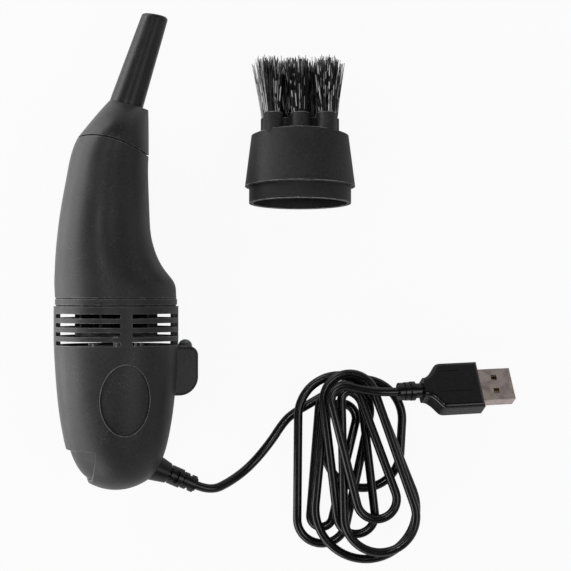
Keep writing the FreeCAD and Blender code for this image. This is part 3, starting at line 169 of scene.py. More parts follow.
@dataclass(frozen=True)
class MouldedPlastic(Finish):
    """Injection-moulded plastic: a spark-eroded grain, cloudy gloss, and edges rubbed pale.

    Sizes are in millimetres. A real spark-eroded grain is about 0.1 mm wide, too fine to show,
    so it is drawn coarser.
    """

    cloud: str = "#29292a"
    cloud_size: float = 14.0
    gloss_spread: float = 0.06
    pit: str = "#121213"
    pit_share: float = 0.8
    grain_size: float = 0.7
    grain_depth: float = 0.03
    grain_bump: float = 0.35
    dust: str = "#7d7d7d"
    dust_patch: float = 6.0
    dust_share: float = 0.3
    rubbed: str = "#a6a6a6"
    rub: float = 0.8
    rub_width: float = 0.35
    rub_patch: float = 2.2
    rub_least: float = 0.25
    groove: float = 0.8
    open_gloss: float = 0.5
    bloom: float = 0.1
    bloom_spread: float = 0.35

    def detail(self, tree: bpy.types.NodeTree, shader: bpy.types.Node,
               place: bpy.types.NodeSocket) -> None:
        """The grain as colour and bump, broad clouds of gloss, dust in patches, painted shade in the
        seams, pale edges.

        Args:
            tree: the material's tree.
            shader: its surface shader.
            place: the object's own coordinates.
        """
        shader.inputs["Sheen Weight"].default_value = self.bloom
        shader.inputs["Sheen Roughness"].default_value = self.bloom_spread
        clouds = add(tree, "ShaderNodeTexNoise", {
            "Vector": place, "Scale": grain(self.cloud_size), "Detail": 4.0,
            "Roughness": 0.65})
        broad = add(tree, "ShaderNodeMapRange", {
            "Value": clouds.outputs["Fac"], "From Min": 0.35, "From Max": 0.7,
            "To Min": 0.0, "To Max": 1.0}, interpolation_type="SMOOTHSTEP")
        self.blend(tree, shader, broad.outputs["Result"], self.cloud)
        fine = add(tree, "ShaderNodeTexNoise", {
            "Vector": place, "Scale": grain(self.grain_size), "Detail": 3.0, "Roughness": 0.7})
        pits = add(tree, "ShaderNodeMapRange", {
            "Value": fine.outputs["Fac"], "From Min": 0.5, "From Max": 0.36,
            "To Min": 0.0, "To Max": self.pit_share})
        self.blend(tree, shader, pits.outputs["Result"], self.pit)
        self.blend(tree, shader, self.dusting(tree, place, fine), self.dust)
        # Painted shade: seams and corners lose their gloss wherever ambient occlusion finds them
        open_air = self.seam_painted_shade(tree, shader)
        self.blend(tree, shader, self.rubbing(tree, place, open_air), self.rubbed)
        gloss = add(tree, "ShaderNodeMapRange", {
            "Value": clouds.outputs["Fac"], "From Min": 0.3, "From Max": 0.7,
            "To Min": self.roughness - self.gloss_spread,
            "To Max": self.roughness + self.gloss_spread})
        tree.links.new(gloss.outputs["Result"], shader.inputs["Roughness"])
        bump = add(tree, "ShaderNodeBump", {
            "Height": fine.outputs["Fac"], "Strength": self.grain_bump,
            "Distance": self.grain_depth * MM})
        tree.links.new(bump.outputs["Normal"], shader.inputs["Normal"])

    def dusting(self, tree: bpy.types.NodeTree, place: bpy.types.NodeSocket,
                fine: bpy.types.Node) -> bpy.types.NodeSocket:
        """Dust that sits in the grain, here and there.

        Args:
            tree: the material's tree.
            place: the object's own coordinates.
            fine: the noise of the grain.

        Returns:
            The share of the dust's colour.
        """
        patches = add(tree, "ShaderNodeTexNoise", {
            "Vector": place, "Scale": grain(self.dust_patch), "Detail": 2.0,
            "Distortion": 0.8})
        where = add(tree, "ShaderNodeMapRange", {
            "Value": patches.outputs["Fac"], "From Min": 0.5, "From Max": 0.72})
        specks = add(tree, "ShaderNodeMapRange", {
            "Value": fine.outputs["Fac"], "From Min": 0.54, "From Max": 0.72,
            "To Min": 0.0, "To Max": self.dust_share})
        share = add(tree, "ShaderNodeMath", {
            0: where.outputs["Result"], 1: specks.outputs["Result"]}, operation="MULTIPLY")
        return share.outputs["Value"]

    def seam_painted_shade(self, tree: bpy.types.NodeTree,
                shader: bpy.types.Node) -> bpy.types.NodeSocket:
        """Paints shade into the seams and corners, turning the gloss down where ambient occlusion
        finds surfaces close by.

        Args:
            tree: the material's tree.
            shader: its surface shader, whose specular level is taken over.

        Returns:
            The share of open air over the surface, none deep in a seam.
        """
        near = add(tree, "ShaderNodeAmbientOcclusion", {"Distance": self.groove * MM}, samples=6)
        open_air = add(tree, "ShaderNodeMapRange", {
            "Value": near.outputs["AO"], "From Min": 0.35, "From Max": 0.85})
        level = add(tree, "ShaderNodeMath", {
            0: open_air.outputs["Result"], 1: self.open_gloss}, operation="MULTIPLY")
        tree.links.new(level.outputs["Value"], shader.inputs["Specular IOR Level"])
        return open_air.outputs["Result"]

    def rubbing(self, tree: bpy.types.NodeTree, place: bpy.types.NodeSocket,
                open_air: bpy.types.NodeSocket) -> bpy.types.NodeSocket:
        """The edges that hands and boxes have rubbed pale.

        Args:
            tree: the material's tree.
            place: the object's own coordinates.
            open_air: the share of open air, so that no groove counts as an edge.

        Returns:
            The share of the rubbed colour.
        """
        soft = add(tree, "ShaderNodeBevel", {"Radius": self.rub_width * MM}, samples=4)
        sharp = add(tree, "ShaderNodeNewGeometry")
        turned = add(tree, "ShaderNodeVectorMath", {
            0: soft.outputs["Normal"], 1: sharp.outputs["Normal"]}, operation="DOT_PRODUCT")
        edge = add(tree, "ShaderNodeMapRange", {
            "Value": turned.outputs["Value"], "From Min": 0.985, "From Max": 0.85,
            "To Min": 0.0, "To Max": self.rub})
        broken = add(tree, "ShaderNodeTexNoise", {
            "Vector": place, "Scale": grain(self.rub_patch), "Detail": 3.0})
        here = add(tree, "ShaderNodeMapRange", {
            "Value": broken.outputs["Fac"], "From Min": 0.38, "From Max": 0.62,
            "To Min": self.rub_least, "To Max": 1.0})
        worn = add(tree, "ShaderNodeMath", {
            0: edge.outputs["Result"], 1: here.outputs["Result"]}, operation="MULTIPLY")
        share = add(tree, "ShaderNodeMath", {
            0: worn.outputs["Value"], 1: open_air}, operation="MULTIPLY")
        return share.outputs["Value"]


@dataclass(frozen=True)
class SoftVinyl(Finish):
    """Extruded or overmoulded PVC: smooth, near black, with a wet gloss and faint waves."""

    wave: float = 2.4
    wave_depth: float = 0.05
    wave_bump: float = 0.4
    bloom: str = "#1a1a1b"
    bloom_share: float = 0.3
    gloss_rise: float = 0.12

    def detail(self, tree: bpy.types.NodeTree, shader: bpy.types.Node,
               place: bpy.types.NodeSocket) -> None:
        """Long shallow waves that break up the highlights, and a bloom of grey.

        Args:
            tree: the material's tree.
            shader: its surface shader.
            place: the object's own coordinates.
        """
        waves = add(tree, "ShaderNodeTexNoise", {
            "Vector": place, "Scale": grain(self.wave), "Detail": 2.0})
        bloom = add(tree, "ShaderNodeMapRange", {
            "Value": waves.outputs["Fac"], "From Min": 0.5, "From Max": 0.8,
            "To Min": 0.0, "To Max": self.bloom_share})
        self.blend(tree, shader, bloom.outputs["Result"], self.bloom)
        gloss = add(tree, "ShaderNodeMapRange", {
            "Value": waves.outputs["Fac"], "From Min": 0.3, "From Max": 0.7,
            "To Min": self.roughness, "To Max": self.roughness + self.gloss_rise})
        tree.links.new(gloss.outputs["Result"], shader.inputs["Roughness"])
        bump = add(tree, "ShaderNodeBump", {
            "Height": waves.outputs["Fac"], "Strength": self.wave_bump,
            "Distance": self.wave_depth * MM})
        tree.links.new(bump.outputs["Normal"], shader.inputs["Normal"])


@dataclass(frozen=True)
class WorkedMetal(Finish):
    """Plated or drawn metal: fine scratches along one way and a little tarnish."""

    metallic: float = 1.0
    tarnish: str = "#6a6663"
    tarnish_patch: float = 3.5
    tarnish_share: float = 0.6
    scratch: tuple[float, float, float] = (0.08, 4.0, 0.08)
    scratch_depth: float = 0.004
    scratch_bump: float = 0.3
    gloss_fall: float = 0.08
    gloss_rise: float = 0.1

    def detail(self, tree: bpy.types.NodeTree, shader: bpy.types.Node,
               place: bpy.types.NodeSocket) -> None:
        """Stretched noise as scratches, and a cloud of tarnish.

        Args:
            tree: the material's tree.
            shader: its surface shader.
            place: the object's own coordinates.
        """
        stretched = add(tree, "ShaderNodeMapping", {
            "Vector": place, "Scale": [grain(size) for size in self.scratch]})
        lines = add(tree, "ShaderNodeTexNoise", {
            "Vector": stretched.outputs["Vector"], "Scale": 1.0, "Detail": 3.0})
        clouds = add(tree, "ShaderNodeTexNoise", {
            "Vector": place, "Scale": grain(self.tarnish_patch), "Detail": 3.0})
        worn = add(tree, "ShaderNodeMapRange", {
            "Value": clouds.outputs["Fac"], "From Min": 0.45, "From Max": 0.75,
            "To Min": 0.0, "To Max": self.tarnish_share})
        self.blend(tree, shader, worn.outputs["Result"], self.tarnish)
        gloss = add(tree, "ShaderNodeMapRange", {
            "Value": lines.outputs["Fac"], "From Min": 0.3, "From Max": 0.7,
            "To Min": self.roughness - self.gloss_fall,
            "To Max": self.roughness + self.gloss_rise})
        tree.links.new(gloss.outputs["Result"], shader.inputs["Roughness"])
        bump = add(tree, "ShaderNodeBump", {
            "Height": lines.outputs["Fac"], "Strength": self.scratch_bump,
            "Distance": self.scratch_depth * MM})
        tree.links.new(bump.outputs["Normal"], shader.inputs["Normal"])


@dataclass(frozen=True)
class Porous(Finish):
    """Sintered, pressed or baked stuff: open pores that are darker than the rest.

    Real pores are about 0.05 mm wide, too fine to show, so they are drawn coarser.
    """

    pore: str = "#3a2f22"
    pore_size: float = 0.35
    pore_share: float = 0.7
    pore_depth: float = 0.02
    pore_bump: float = 0.3

    def detail(self, tree: bpy.types.NodeTree, shader: bpy.types.Node,
               place: bpy.types.NodeSocket) -> None:
        """Small cells for the pores, as colour and as bump.

        Args:
            tree: the material's tree.
            shader: its surface shader.
            place: the object's own coordinates.
        """
        cells = add(tree, "ShaderNodeTexVoronoi", {
            "Vector": place, "Scale": grain(self.pore_size)})
        pores = add(tree, "ShaderNodeMapRange", {
            "Value": cells.outputs["Distance"], "From Min": 0.0, "From Max": 0.45,
            "To Min": self.pore_share, "To Max": 0.0})
        self.blend(tree, shader, pores.outputs["Result"], self.pore)
        bump = add(tree, "ShaderNodeBump", {
            "Height": cells.outputs["Distance"], "Strength": self.pore_bump,
            "Distance": self.pore_depth * MM})
        tree.links.new(bump.outputs["Normal"], shader.inputs["Normal"])


@dataclass(frozen=True)
class ClearEpoxy(Finish):
    """Cast clear epoxy: bright and clear, with a surface that ripples a little."""

    clarity: float = 0.92
    coat: float = 0.3
    ripple: float = 1.6
    ripple_depth: float = 0.05
    ripple_bump: float = 0.15

    def detail(self, tree: bpy.types.NodeTree, shader: bpy.types.Node,
               place: bpy.types.NodeSocket) -> None:
        """Lets light through and ripples the surface a little.

        Args:
            tree: the material's tree.
            shader: its surface shader.
            place: the object's own coordinates.
        """
        shader.inputs["Transmission Weight"].default_value = self.clarity
        shader.inputs["Coat Weight"].default_value = self.coat
        ripple = add(tree, "ShaderNodeTexNoise", {
            "Vector": place, "Scale": grain(self.ripple)})
        bump = add(tree, "ShaderNodeBump", {
            "Height": ripple.outputs["Fac"], "Strength": self.ripple_bump,
            "Distance": self.ripple_depth * MM})
        tree.links.new(bump.outputs["Normal"], shader.inputs["Normal"])


@dataclass(frozen=True)
class NonWovenCloth(Finish):
    """Bonded polyester fleece: matted fibres with a soft bloom.

    Real fibres are about 0.02 mm thick, too fine to show, so they are drawn as bundles.
    """

    fibre: float = 0.25
    fibre_reach: float = 12.0
    fibre_turn: tuple[float, float, float] = (0.0, 0.6, 0.4)
    fibre_depth: float = 0.08
    fibre_bump: float = 0.6
    pale: str = "#e9e7e1"
    bloom: float = 0.4

    def detail(self, tree: bpy.types.NodeTree, shader: bpy.types.Node,
               place: bpy.types.NodeSocket) -> None:
        """Crossed fibres from two stretched noises, with a bloom of dust.

        Args:
            tree: the material's tree.
            shader: its surface shader.
            place: the object's own coordinates.
        """
        shader.inputs["Sheen Weight"].default_value = self.bloom
        heights = []
        for long_way in (0, 2):
            sizes = [self.fibre] * 3
            sizes[long_way] = self.fibre * self.fibre_reach
            stretched = add(tree, "ShaderNodeMapping", {
                "Vector": place, "Scale": [grain(size) for size in sizes],
                "Rotation": self.fibre_turn})
            heights.append(add(tree, "ShaderNodeTexNoise", {
                "Vector": stretched.outputs["Vector"], "Scale": 1.0, "Detail": 2.0}))
        felt = add(tree, "ShaderNodeMath", {
            0: heights[0].outputs["Fac"], 1: heights[1].outputs["Fac"]}, operation="MAXIMUM")
        self.blend(tree, shader, felt.outputs["Value"], self.pale)
        bump = add(tree, "ShaderNodeBump", {
            "Height": felt.outputs["Value"], "Strength": self.fibre_bump,
            "Distance": self.fibre_depth * MM})
        tree.links.new(bump.outputs["Normal"], shader.inputs["Normal"])


@dataclass(frozen=True)
class NylonFilament(Finish):
    """Drawn nylon monofilament: black and glossy, with a highlight painted pale along some strands
    where they would catch the light.
    """

    painted_glint: str = "#f2f2f2"
    streak: float = 4.5
    streak_edge: tuple[float, float] = (0.49, 0.54)

    def detail(self, tree: bpy.types.NodeTree, shader: bpy.types.Node,
               place: bpy.types.NodeSocket) -> None:
        """Takes each strand's share of painted highlight and streaks it along its length.

        Args:
            tree: the material's tree.
            shader: its surface shader.
            place: the object's own coordinates.
        """
        # Painted highlight: each strand's own share of white, streaked along it or whole
        painted_highlight = add(tree, "ShaderNodeAttribute", attribute_name="strand_tone")
        apart = add(tree, "ShaderNodeVectorMath", {0: place, 1: painted_highlight.outputs["Fac"]},
                    operation="ADD")
        streaks = add(tree, "ShaderNodeTexNoise", {
            "Vector": apart.outputs["Vector"], "Scale": grain(self.streak), "Detail": 1.0})
        broken = add(tree, "ShaderNodeMapRange", {
            "Value": streaks.outputs["Fac"], "From Min": self.streak_edge[0],
            "From Max": self.streak_edge[1]})
        streaked = add(tree, "ShaderNodeMath", {
            0: painted_highlight.outputs["Fac"], 1: broken.outputs["Result"]}, operation="MULTIPLY")
        whole = add(tree, "ShaderNodeMath", {0: painted_highlight.outputs["Fac"], 1: 1.0},
                    operation="SUBTRACT")
        share = add(tree, "ShaderNodeMath", {
            0: streaked.outputs["Value"], 1: whole.outputs["Value"]},
            operation="MAXIMUM", use_clamp=True)
        self.blend(tree, shader, share.outputs["Value"], self.painted_glint)


class Stock(Enum):
    """The finishes that the vacuum, its cord, its plug and its brush head are made in."""

    # Charcoal with a matt grain, with shade painted into the seams as lost gloss, and rubbed pale
    # along its edges
    BODY = MouldedPlastic("spark_grained_abs_black", "#232324", 0.46)
    # The same plastic where handling has greyed a raised line
    WORN = MouldedPlastic("rubbed_abs_grey", "#5c5c5d", 0.5, cloud="#474748")
    # Blacker and smoother than the body, with a softer shine
    NOZZLE = MouldedPlastic("satin_tpe_black", "#19191a", 0.38, cloud="#232324",
                            dust="#7a7a7a", dust_share=0.35)
    # Waxy dark grey that whitens where its edges are knocked
    BRUSH = MouldedPlastic("satin_polypropylene_black", "#272728", 0.5, cloud="#2d2d2e",
                           dust_share=0.2, rubbed="#e2e2e2", rub=1.0)
    # Near black, seen only through slots and mouths
    INNER = MouldedPlastic("moulded_nylon_black", "#131314", 0.5, cloud="#1b1b1c")
    # Slightly yellow white, as plain inner mouldings are
    WHITE = MouldedPlastic("moulded_pbt_white", "#dedbd4", 0.45, cloud="#cfcbc2",
                           dust="#f4f2ee")
    # Wet black with sharp highlights that wave along it
    CORD = SoftVinyl("extruded_pvc_black", "#060607", 0.16)
    # Black with a broader shine, as soft grips have
    BOOT = SoftVinyl("overmoulded_pvc_black", "#09090a", 0.24, wave=1.2)
    # Wet black with a shallow mould ripple
    PLUG = SoftVinyl("moulded_plug_pvc_black", "#060607", 0.18, wave=1.6)
    # Warm silver with fine scratches across and patches of tarnish
    SHELL = WorkedMetal("nickel_plated_shell", "#dccbc5", 0.24, scratch=(4.0, 0.1, 0.1))
    # Cool silver, evenly bright
    STEEL = WorkedMetal("zinc_plated_steel", "#b4b4b6", 0.32)
    # Grey edges of thin stacked sheets, as fine lines round the core
    LAMINATE = WorkedMetal("stacked_silicon_steel", "#85868a", 0.4,
                           scratch=(6.0, 0.35, 6.0), scratch_depth=0.03)
    # Thin yellow plating, duller where it wipes
    GOLD = WorkedMetal("gold_flashed_contact", "#d9b168", 0.25, tarnish="#a8803c")
    # Orange-brown varnished turns with a line between each two
    COPPER = WorkedMetal("enamelled_copper_wire", "#b4662f", 0.28, tarnish="#8a4a22",
                         scratch=(2.5, 2.5, 0.22), scratch_depth=0.05)
    # Dull yellow-brown with open pores
    BRONZE = Porous("sintered_bronze", "#b08a52", 0.42, metallic=1.0)
    # Dark grey and chalky
    FERRITE = Porous("pressed_ferrite", "#3c3b3c", 0.62, pore="#1f1e1f")
    # Tan board with a paper fleck
    BOARD = Porous("phenolic_paper_board", "#a98348", 0.5, pore="#8d6a35", pore_size=0.6)
    # Cream lacquer with small dimples
    RESISTOR = Porous("baked_resistor_lacquer", "#cdb387", 0.35, pore="#b2905a",
                      pore_size=0.9, pore_share=0.4)
    # Clean red sleeve
    WIRE = SoftVinyl("red_wire_insulation", "#a3161b", 0.35, bloom="#c2333a")
    # Water-clear dome that shows the leads inside
    LAMP = ClearEpoxy("cast_clear_epoxy", "#f4f7fa", 0.06, ior=1.53)
    # Off-white felt, soft against the hard plastic round it
    CLOTH = NonWovenCloth("bonded_polyester_fleece", "#d6d3ca", 0.9)
    # Black strands, some with painted white highlights along them
    BRISTLE = NylonFilament("drawn_nylon_black_painted_glints", "#0b0b0b", 0.24, ior=1.53)

    def on(self, *names: str) -> None:
        """Gives this finish to CAD nodes by name.

        Args:
            names: the nodes' names.
        """
        for name in names:
            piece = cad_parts[name]
            if not piece.material_slots:
                piece.data.materials.append(None)
            for slot in piece.material_slots:
                slot.material = self.value.material()


# Shared steps

def deselect() -> None:
    """Clears the selection, so that the next operator acts on its own piece."""
    if bpy.context.mode != "OBJECT":
        bpy.ops.object.mode_set(mode="OBJECT")
    bpy.ops.object.select_all(action="DESELECT")


def hold(piece: bpy.types.Object) -> None:
    """Makes one piece the only one selected and the active one.

    Args:
        piece: the piece that the next operator works on.
    """
    deselect()
    piece.select_set(True)
    bpy.context.view_layer.objects.active = piece


def settle(piece: bpy.types.Object) -> None:
    """Puts the piece's place and turn into its mesh."""
    hold(piece)
    bpy.ops.object.transform_apply(location=True, rotation=True, scale=True)


# Studio

@dataclass
class Studio:
    """The pale floor, the soft lamps and the camera straight above.

    The camera's height and half of its view are in millimetres. A gloss that mirrors the floor
    sees light painted on its left and shade painted on its right, by the floor's own glow:
    each side is a place across, in millimetres, and a share of white. The sky's limits are
    heights and places on its unit sphere. Each lamp has a place and a size in metres, and a
    power in watts.
    """

    height: float = 600.0
    half_view: float = 101.96
    sensor: float = 36.0
    floor_size: float = 6.0
    glow: float = 0.93
    painted_lit_side: tuple = (-58.0, 0.95)
    painted_shade_side: tuple = (-34.0, 0.12)
    zenith: float = 0.14
    horizon: float = 1.15
    sky_low: float = 0.05
    sky_high: float = 0.75
    sky_side: float = 0.8
    sky_right: float = 0.35
    centre: tuple = (0.02, -0.02, 0.0)
    lying: str = "floor_left"
    lamps: tuple = (
        ("key_left", (-1.0, 0.10, 0.20), (1.4, 0.34), 4.5),
        ("fill_right", (0.60, -0.20, 0.90), (0.5, 0.5), 1.6),
        ("back_left", (-0.60, 0.85, 0.32), (0.8, 0.3), 2.5),
        ("front_left", (-0.65, -0.80, 0.40), (0.8, 0.4), 3.0),
        ("floor_left", (-0.125, 0.03, 0.002), (0.05, 0.26), 0.12),
        ("top_small", (-0.10, 0.06, 0.95), (0.12, 0.12), 0.7),
    )

    def build(self) -> None:
        """Sets the floor, the sky, the lamps and the camera."""
        self.lay_floor()
        self.light()
        self.aim()
        bpy.context.scene.view_settings.view_transform = "Standard"

    def lay_floor(self) -> None:
        """A wide pale floor that the camera sees near white, with the object's shadow, and that
        glosses see with painted light on the left and painted shade on the right.
        """
        deselect()
        bpy.ops.mesh.primitive_plane_add(size=self.floor_size, location=(0.0, 0.0, 0.0))
        floor = bpy.context.active_object
        floor.name = "studio_floor"
        cover = bpy.data.materials.new("matt_paper_white")
        cover.use_nodes = True
        tree = cover.node_tree
        tree.nodes.clear()
        paper = add(tree, "ShaderNodeBsdfDiffuse", {"Color": linear("#fcfcfc")})
        bright = add(tree, "ShaderNodeEmission", {
            "Color": linear("#ffffff"), "Strength": 1.0})
        rays = add(tree, "ShaderNodeLightPath")
        seen = add(tree, "ShaderNodeMath", {
            0: rays.outputs["Is Camera Ray"], 1: rays.outputs["Is Transmission Ray"]},
            operation="MAXIMUM")
        across = add(tree, "ShaderNodeSeparateXYZ", {
            "Vector": add(tree, "ShaderNodeTexCoord").outputs["Object"]})
        # Painted reflection: glossy rays see the floor glow bright on the left and dim on the right
        painted_lit_share = add(tree, "ShaderNodeMapRange", {
            "Value": across.outputs["X"], "From Min": self.painted_lit_side[0] * MM,
            "From Max": self.painted_shade_side[0] * MM, "To Min": self.painted_lit_side[1],
            "To Max": self.painted_shade_side[1]}, interpolation_type="SMOOTHSTEP")
        painted_reflection = add(tree, "ShaderNodeMath", {
            0: rays.outputs["Is Glossy Ray"], 1: painted_lit_share.outputs["Result"]}, operation="MULTIPLY")
        share = add(tree, "ShaderNodeMath", {
            0: seen.outputs["Value"], 1: self.glow, 2: painted_reflection.outputs["Value"]},
            operation="MULTIPLY_ADD")
        mix = add(tree, "ShaderNodeMixShader", {
            0: share.outputs["Value"], 1: paper.outputs["BSDF"], 2: bright.outputs["Emission"]})
        add(tree, "ShaderNodeOutputMaterial", {"Surface": mix.outputs["Shader"]})
        floor.data.materials.append(cover)

    def light(self) -> None:
        """A pale sky, brighter low down and to the left, and the soft lamps, out of sight."""
        world = bpy.data.worlds.new("studio_sky")
        bpy.context.scene.world = world
        world.use_nodes = True
        tree = world.node_tree
        tree.nodes.clear()
        way = add(tree, "ShaderNodeSeparateXYZ", {
            "Vector": add(tree, "ShaderNodeTexCoord").outputs["Generated"]})
        height = add(tree, "ShaderNodeMapRange", {
            "Value": way.outputs["Z"], "From Min": self.sky_low, "From Max": self.sky_high,
            "To Min": self.horizon, "To Max": self.zenith}, interpolation_type="SMOOTHSTEP")
        side = add(tree, "ShaderNodeMapRange", {
            "Value": way.outputs["X"], "From Min": -self.sky_side, "From Max": self.sky_side,
            "To Min": 1.0, "To Max": self.sky_right})
        level = add(tree, "ShaderNodeMath", {
            0: height.outputs["Result"], 1: side.outputs["Result"]}, operation="MULTIPLY")
        sky = add(tree, "ShaderNodeBackground", {
            "Color": linear("#ffffff"), "Strength": level.outputs["Value"]})
        add(tree, "ShaderNodeOutputWorld", {"Surface": sky.outputs["Background"]})
        upwards = Vector((0.0, 0.0, 1.0))
        for name, place, size, power in self.lamps:
            lamp = bpy.data.lights.new(name, "AREA")
            lamp.shape = "RECTANGLE"
            lamp.size, lamp.size_y = size
            lamp.energy = power
            holder = bpy.data.objects.new(name, lamp)
            bpy.context.scene.collection.objects.link(holder)
            holder.location = place
            aim = upwards if name == self.lying else Vector(self.centre) - Vector(place)
            holder.rotation_euler = aim.to_track_quat("-Z", "Y").to_euler()
            holder.visible_camera = False

    def aim(self) -> None:
        """The camera straight down over the picture's middle."""
        lens = bpy.data.cameras.new("photo_camera")
        lens.sensor_width = self.sensor
        lens.lens = lens.sensor_width / 2 * self.height / self.half_view
        camera = bpy.data.objects.new("photo_camera", lens)
        bpy.context.scene.collection.objects.link(camera)
        camera.location = at(0.0, 0.0, self.height)
        bpy.context.scene.camera = camera


# Cord

@dataclass
class PowerCord:
    """The round cord: out of the boot, down to the floor, seven loose loops and the plug.

    Places are in picture millimetres. Each bend has its middle, its radius and its layer, and
    the cord's middle lies one rise higher for each layer. A bend has a control point for each
    step of its turn, in degrees.
    """

    diameter: float = 3.1
    length: float = 0.97
    floor: float = 1.6
    rise: float = 3.7
    step: float = 34.0
    exit: tuple = (-31.36, -69.59, 13.72)
    lead: tuple = (
        (-31.36, -69.59, 13.72), (-26.16, -72.01, 12.32), (-19.2, -69.0, 7.6),
        (-12.6, -64.3, 3.4), (-5.6, -56.2, 1.8), (-0.4, -48.2, 1.6), (3.3, -45.17, 1.6),
    )
    start: tuple = (8.4, -42.2)
    stop: tuple = (25.0, -35.9)
    tail: tuple = ((33.58, -37.2, 16.28), (39.3, -37.0, 14.85))
    bends: tuple = (
        (27.30, -47.63, 14.21, 0), (27.53, -58.71, 13.35, 0), (19.80, -47.23, 5.25, 0),
        (12.72, -81.45, 3.97, 1), (20.85, -44.40, 9.08, 1), (12.92, -82.45, 8.78, 1),
        (18.91, -46.08, 14.44, 2), (28.23, -78.44, 17.75, 2), (20.50, -43.54, 6.62, 2),
        (24.79, -80.73, 6.65, 2), (22.50, -40.07, 9.19, 3), (33.05, -80.74, 12.59, 3),
        (22.93, -40.12, 3.37, 3), (31.83, -74.67, 7.02, 3), (20.83, -39.78, 4.89, 4),
    )

    def side(self, first: tuple, second: tuple) -> Vector:
        """The way from each middle to the run that leaves one bend for the next.

        Args:
            first: the middle and the radius of the bend that is left.
            second: the same of the next bend.

        Returns:
            A level unit vector, for turns that go clockwise.
        """
        step = Vector((second[0] - first[0], second[1] - first[1]))
        lead = (first[2] - second[2]) / step.length
        ahead = step.normalized()
        left = Vector((-ahead.y, ahead.x))
        return ahead * lead + left * math.sqrt(1 - lead * lead)

    def level(self, bend: tuple) -> float:
        """The height of a bend's layer."""
        return self.floor + self.rise * bend[3]

    def climbed(self, here: float, climb: float, past: float) -> float:
        """The height after a share of an eased climb from one layer to the next."""
        return here + climb * past * past * (3 - 2 * past)

    def turns(self) -> list[Vector]:
        """The coil's control points, twelve or more for each turn.

        Returns:
            Points in picture millimetres, in the cord's order.
        """
        came = self.side((*self.start, 0.0), self.bends[0])
        goals = [self.side(*pair) for pair in zip(self.bends, self.bends[1:])]
        leave = Vector((self.tail[0][0] - self.stop[0], self.tail[0][1] - self.stop[1]))
        goals.append(Vector((-leave.y, leave.x)).normalized())
        points = [Vector((*self.start, self.floor))]
        for place, (bend, goes) in enumerate(zip(self.bends, goals)):
            middle = Vector(bend[:2])
            radius = bend[2]
            here = self.level(bend)
            after = self.bends[min(place + 1, len(self.bends) - 1)]
            climb = self.level(after) - here
            turn = (math.atan2(came.y, came.x) - math.atan2(goes.y, goes.x)) % (2 * math.pi)
            count = max(4, math.ceil(math.degrees(turn) / self.step))
            half = turn / count / 2
            run = (Vector(after[:2]) - middle).length
            reach = radius * turn / 2 + run / 2
            overshoot = radius * math.tan(half)
            enter = middle + came * radius - Vector((came.y, -came.x)) * overshoot
            points.append(Vector((*enter, here)))
            for corner in range(count):
                angle = math.atan2(came.y, came.x) - half * (2 * corner + 1)
                out = Vector((math.cos(angle), math.sin(angle)))
                past = max(0.0, radius * (half * (2 * corner + 1) - turn / 2)) / reach
                points.append(Vector((*(middle + out * radius / math.cos(half)),
                                      self.climbed(here, climb, past))))
            past = (radius * turn / 2 + overshoot) / reach
            leaves = middle + goes * radius + Vector((goes.y, -goes.x)) * overshoot
            points.append(Vector((*leaves, self.climbed(here, climb, past))))
            came = goes
        points.append(Vector((*self.stop, self.level(self.bends[-1]))))
        return points

    def build(self) -> None:
        route = [Vector(point) for point in self.lead] + self.turns()
        route += [Vector(point) for point in self.tail]
        line = bpy.data.curves.new("power_cord", "CURVE")
        line.dimensions = "3D"
        line.resolution_u = 10
        line.bevel_depth = self.diameter / 2 * MM
        line.bevel_resolution = 4
        line.use_fill_caps = True
        spline = line.splines.new("NURBS")
        spline.points.add(len(route) - 1)
        for point, place in zip(spline.points, route):
            point.co = (*at(*place), 1.0)
        spline.order_u = 3
        spline.use_endpoint_u = True
        piece = bpy.data.objects.new("power_cord", line)
        bpy.context.scene.collection.objects.link(piece)
        line.materials.append(Stock.CORD.value.material())
        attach(piece, "motor_unit")
        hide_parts("cord_lead", "cord_coil", "cord_tail")


# Brush head

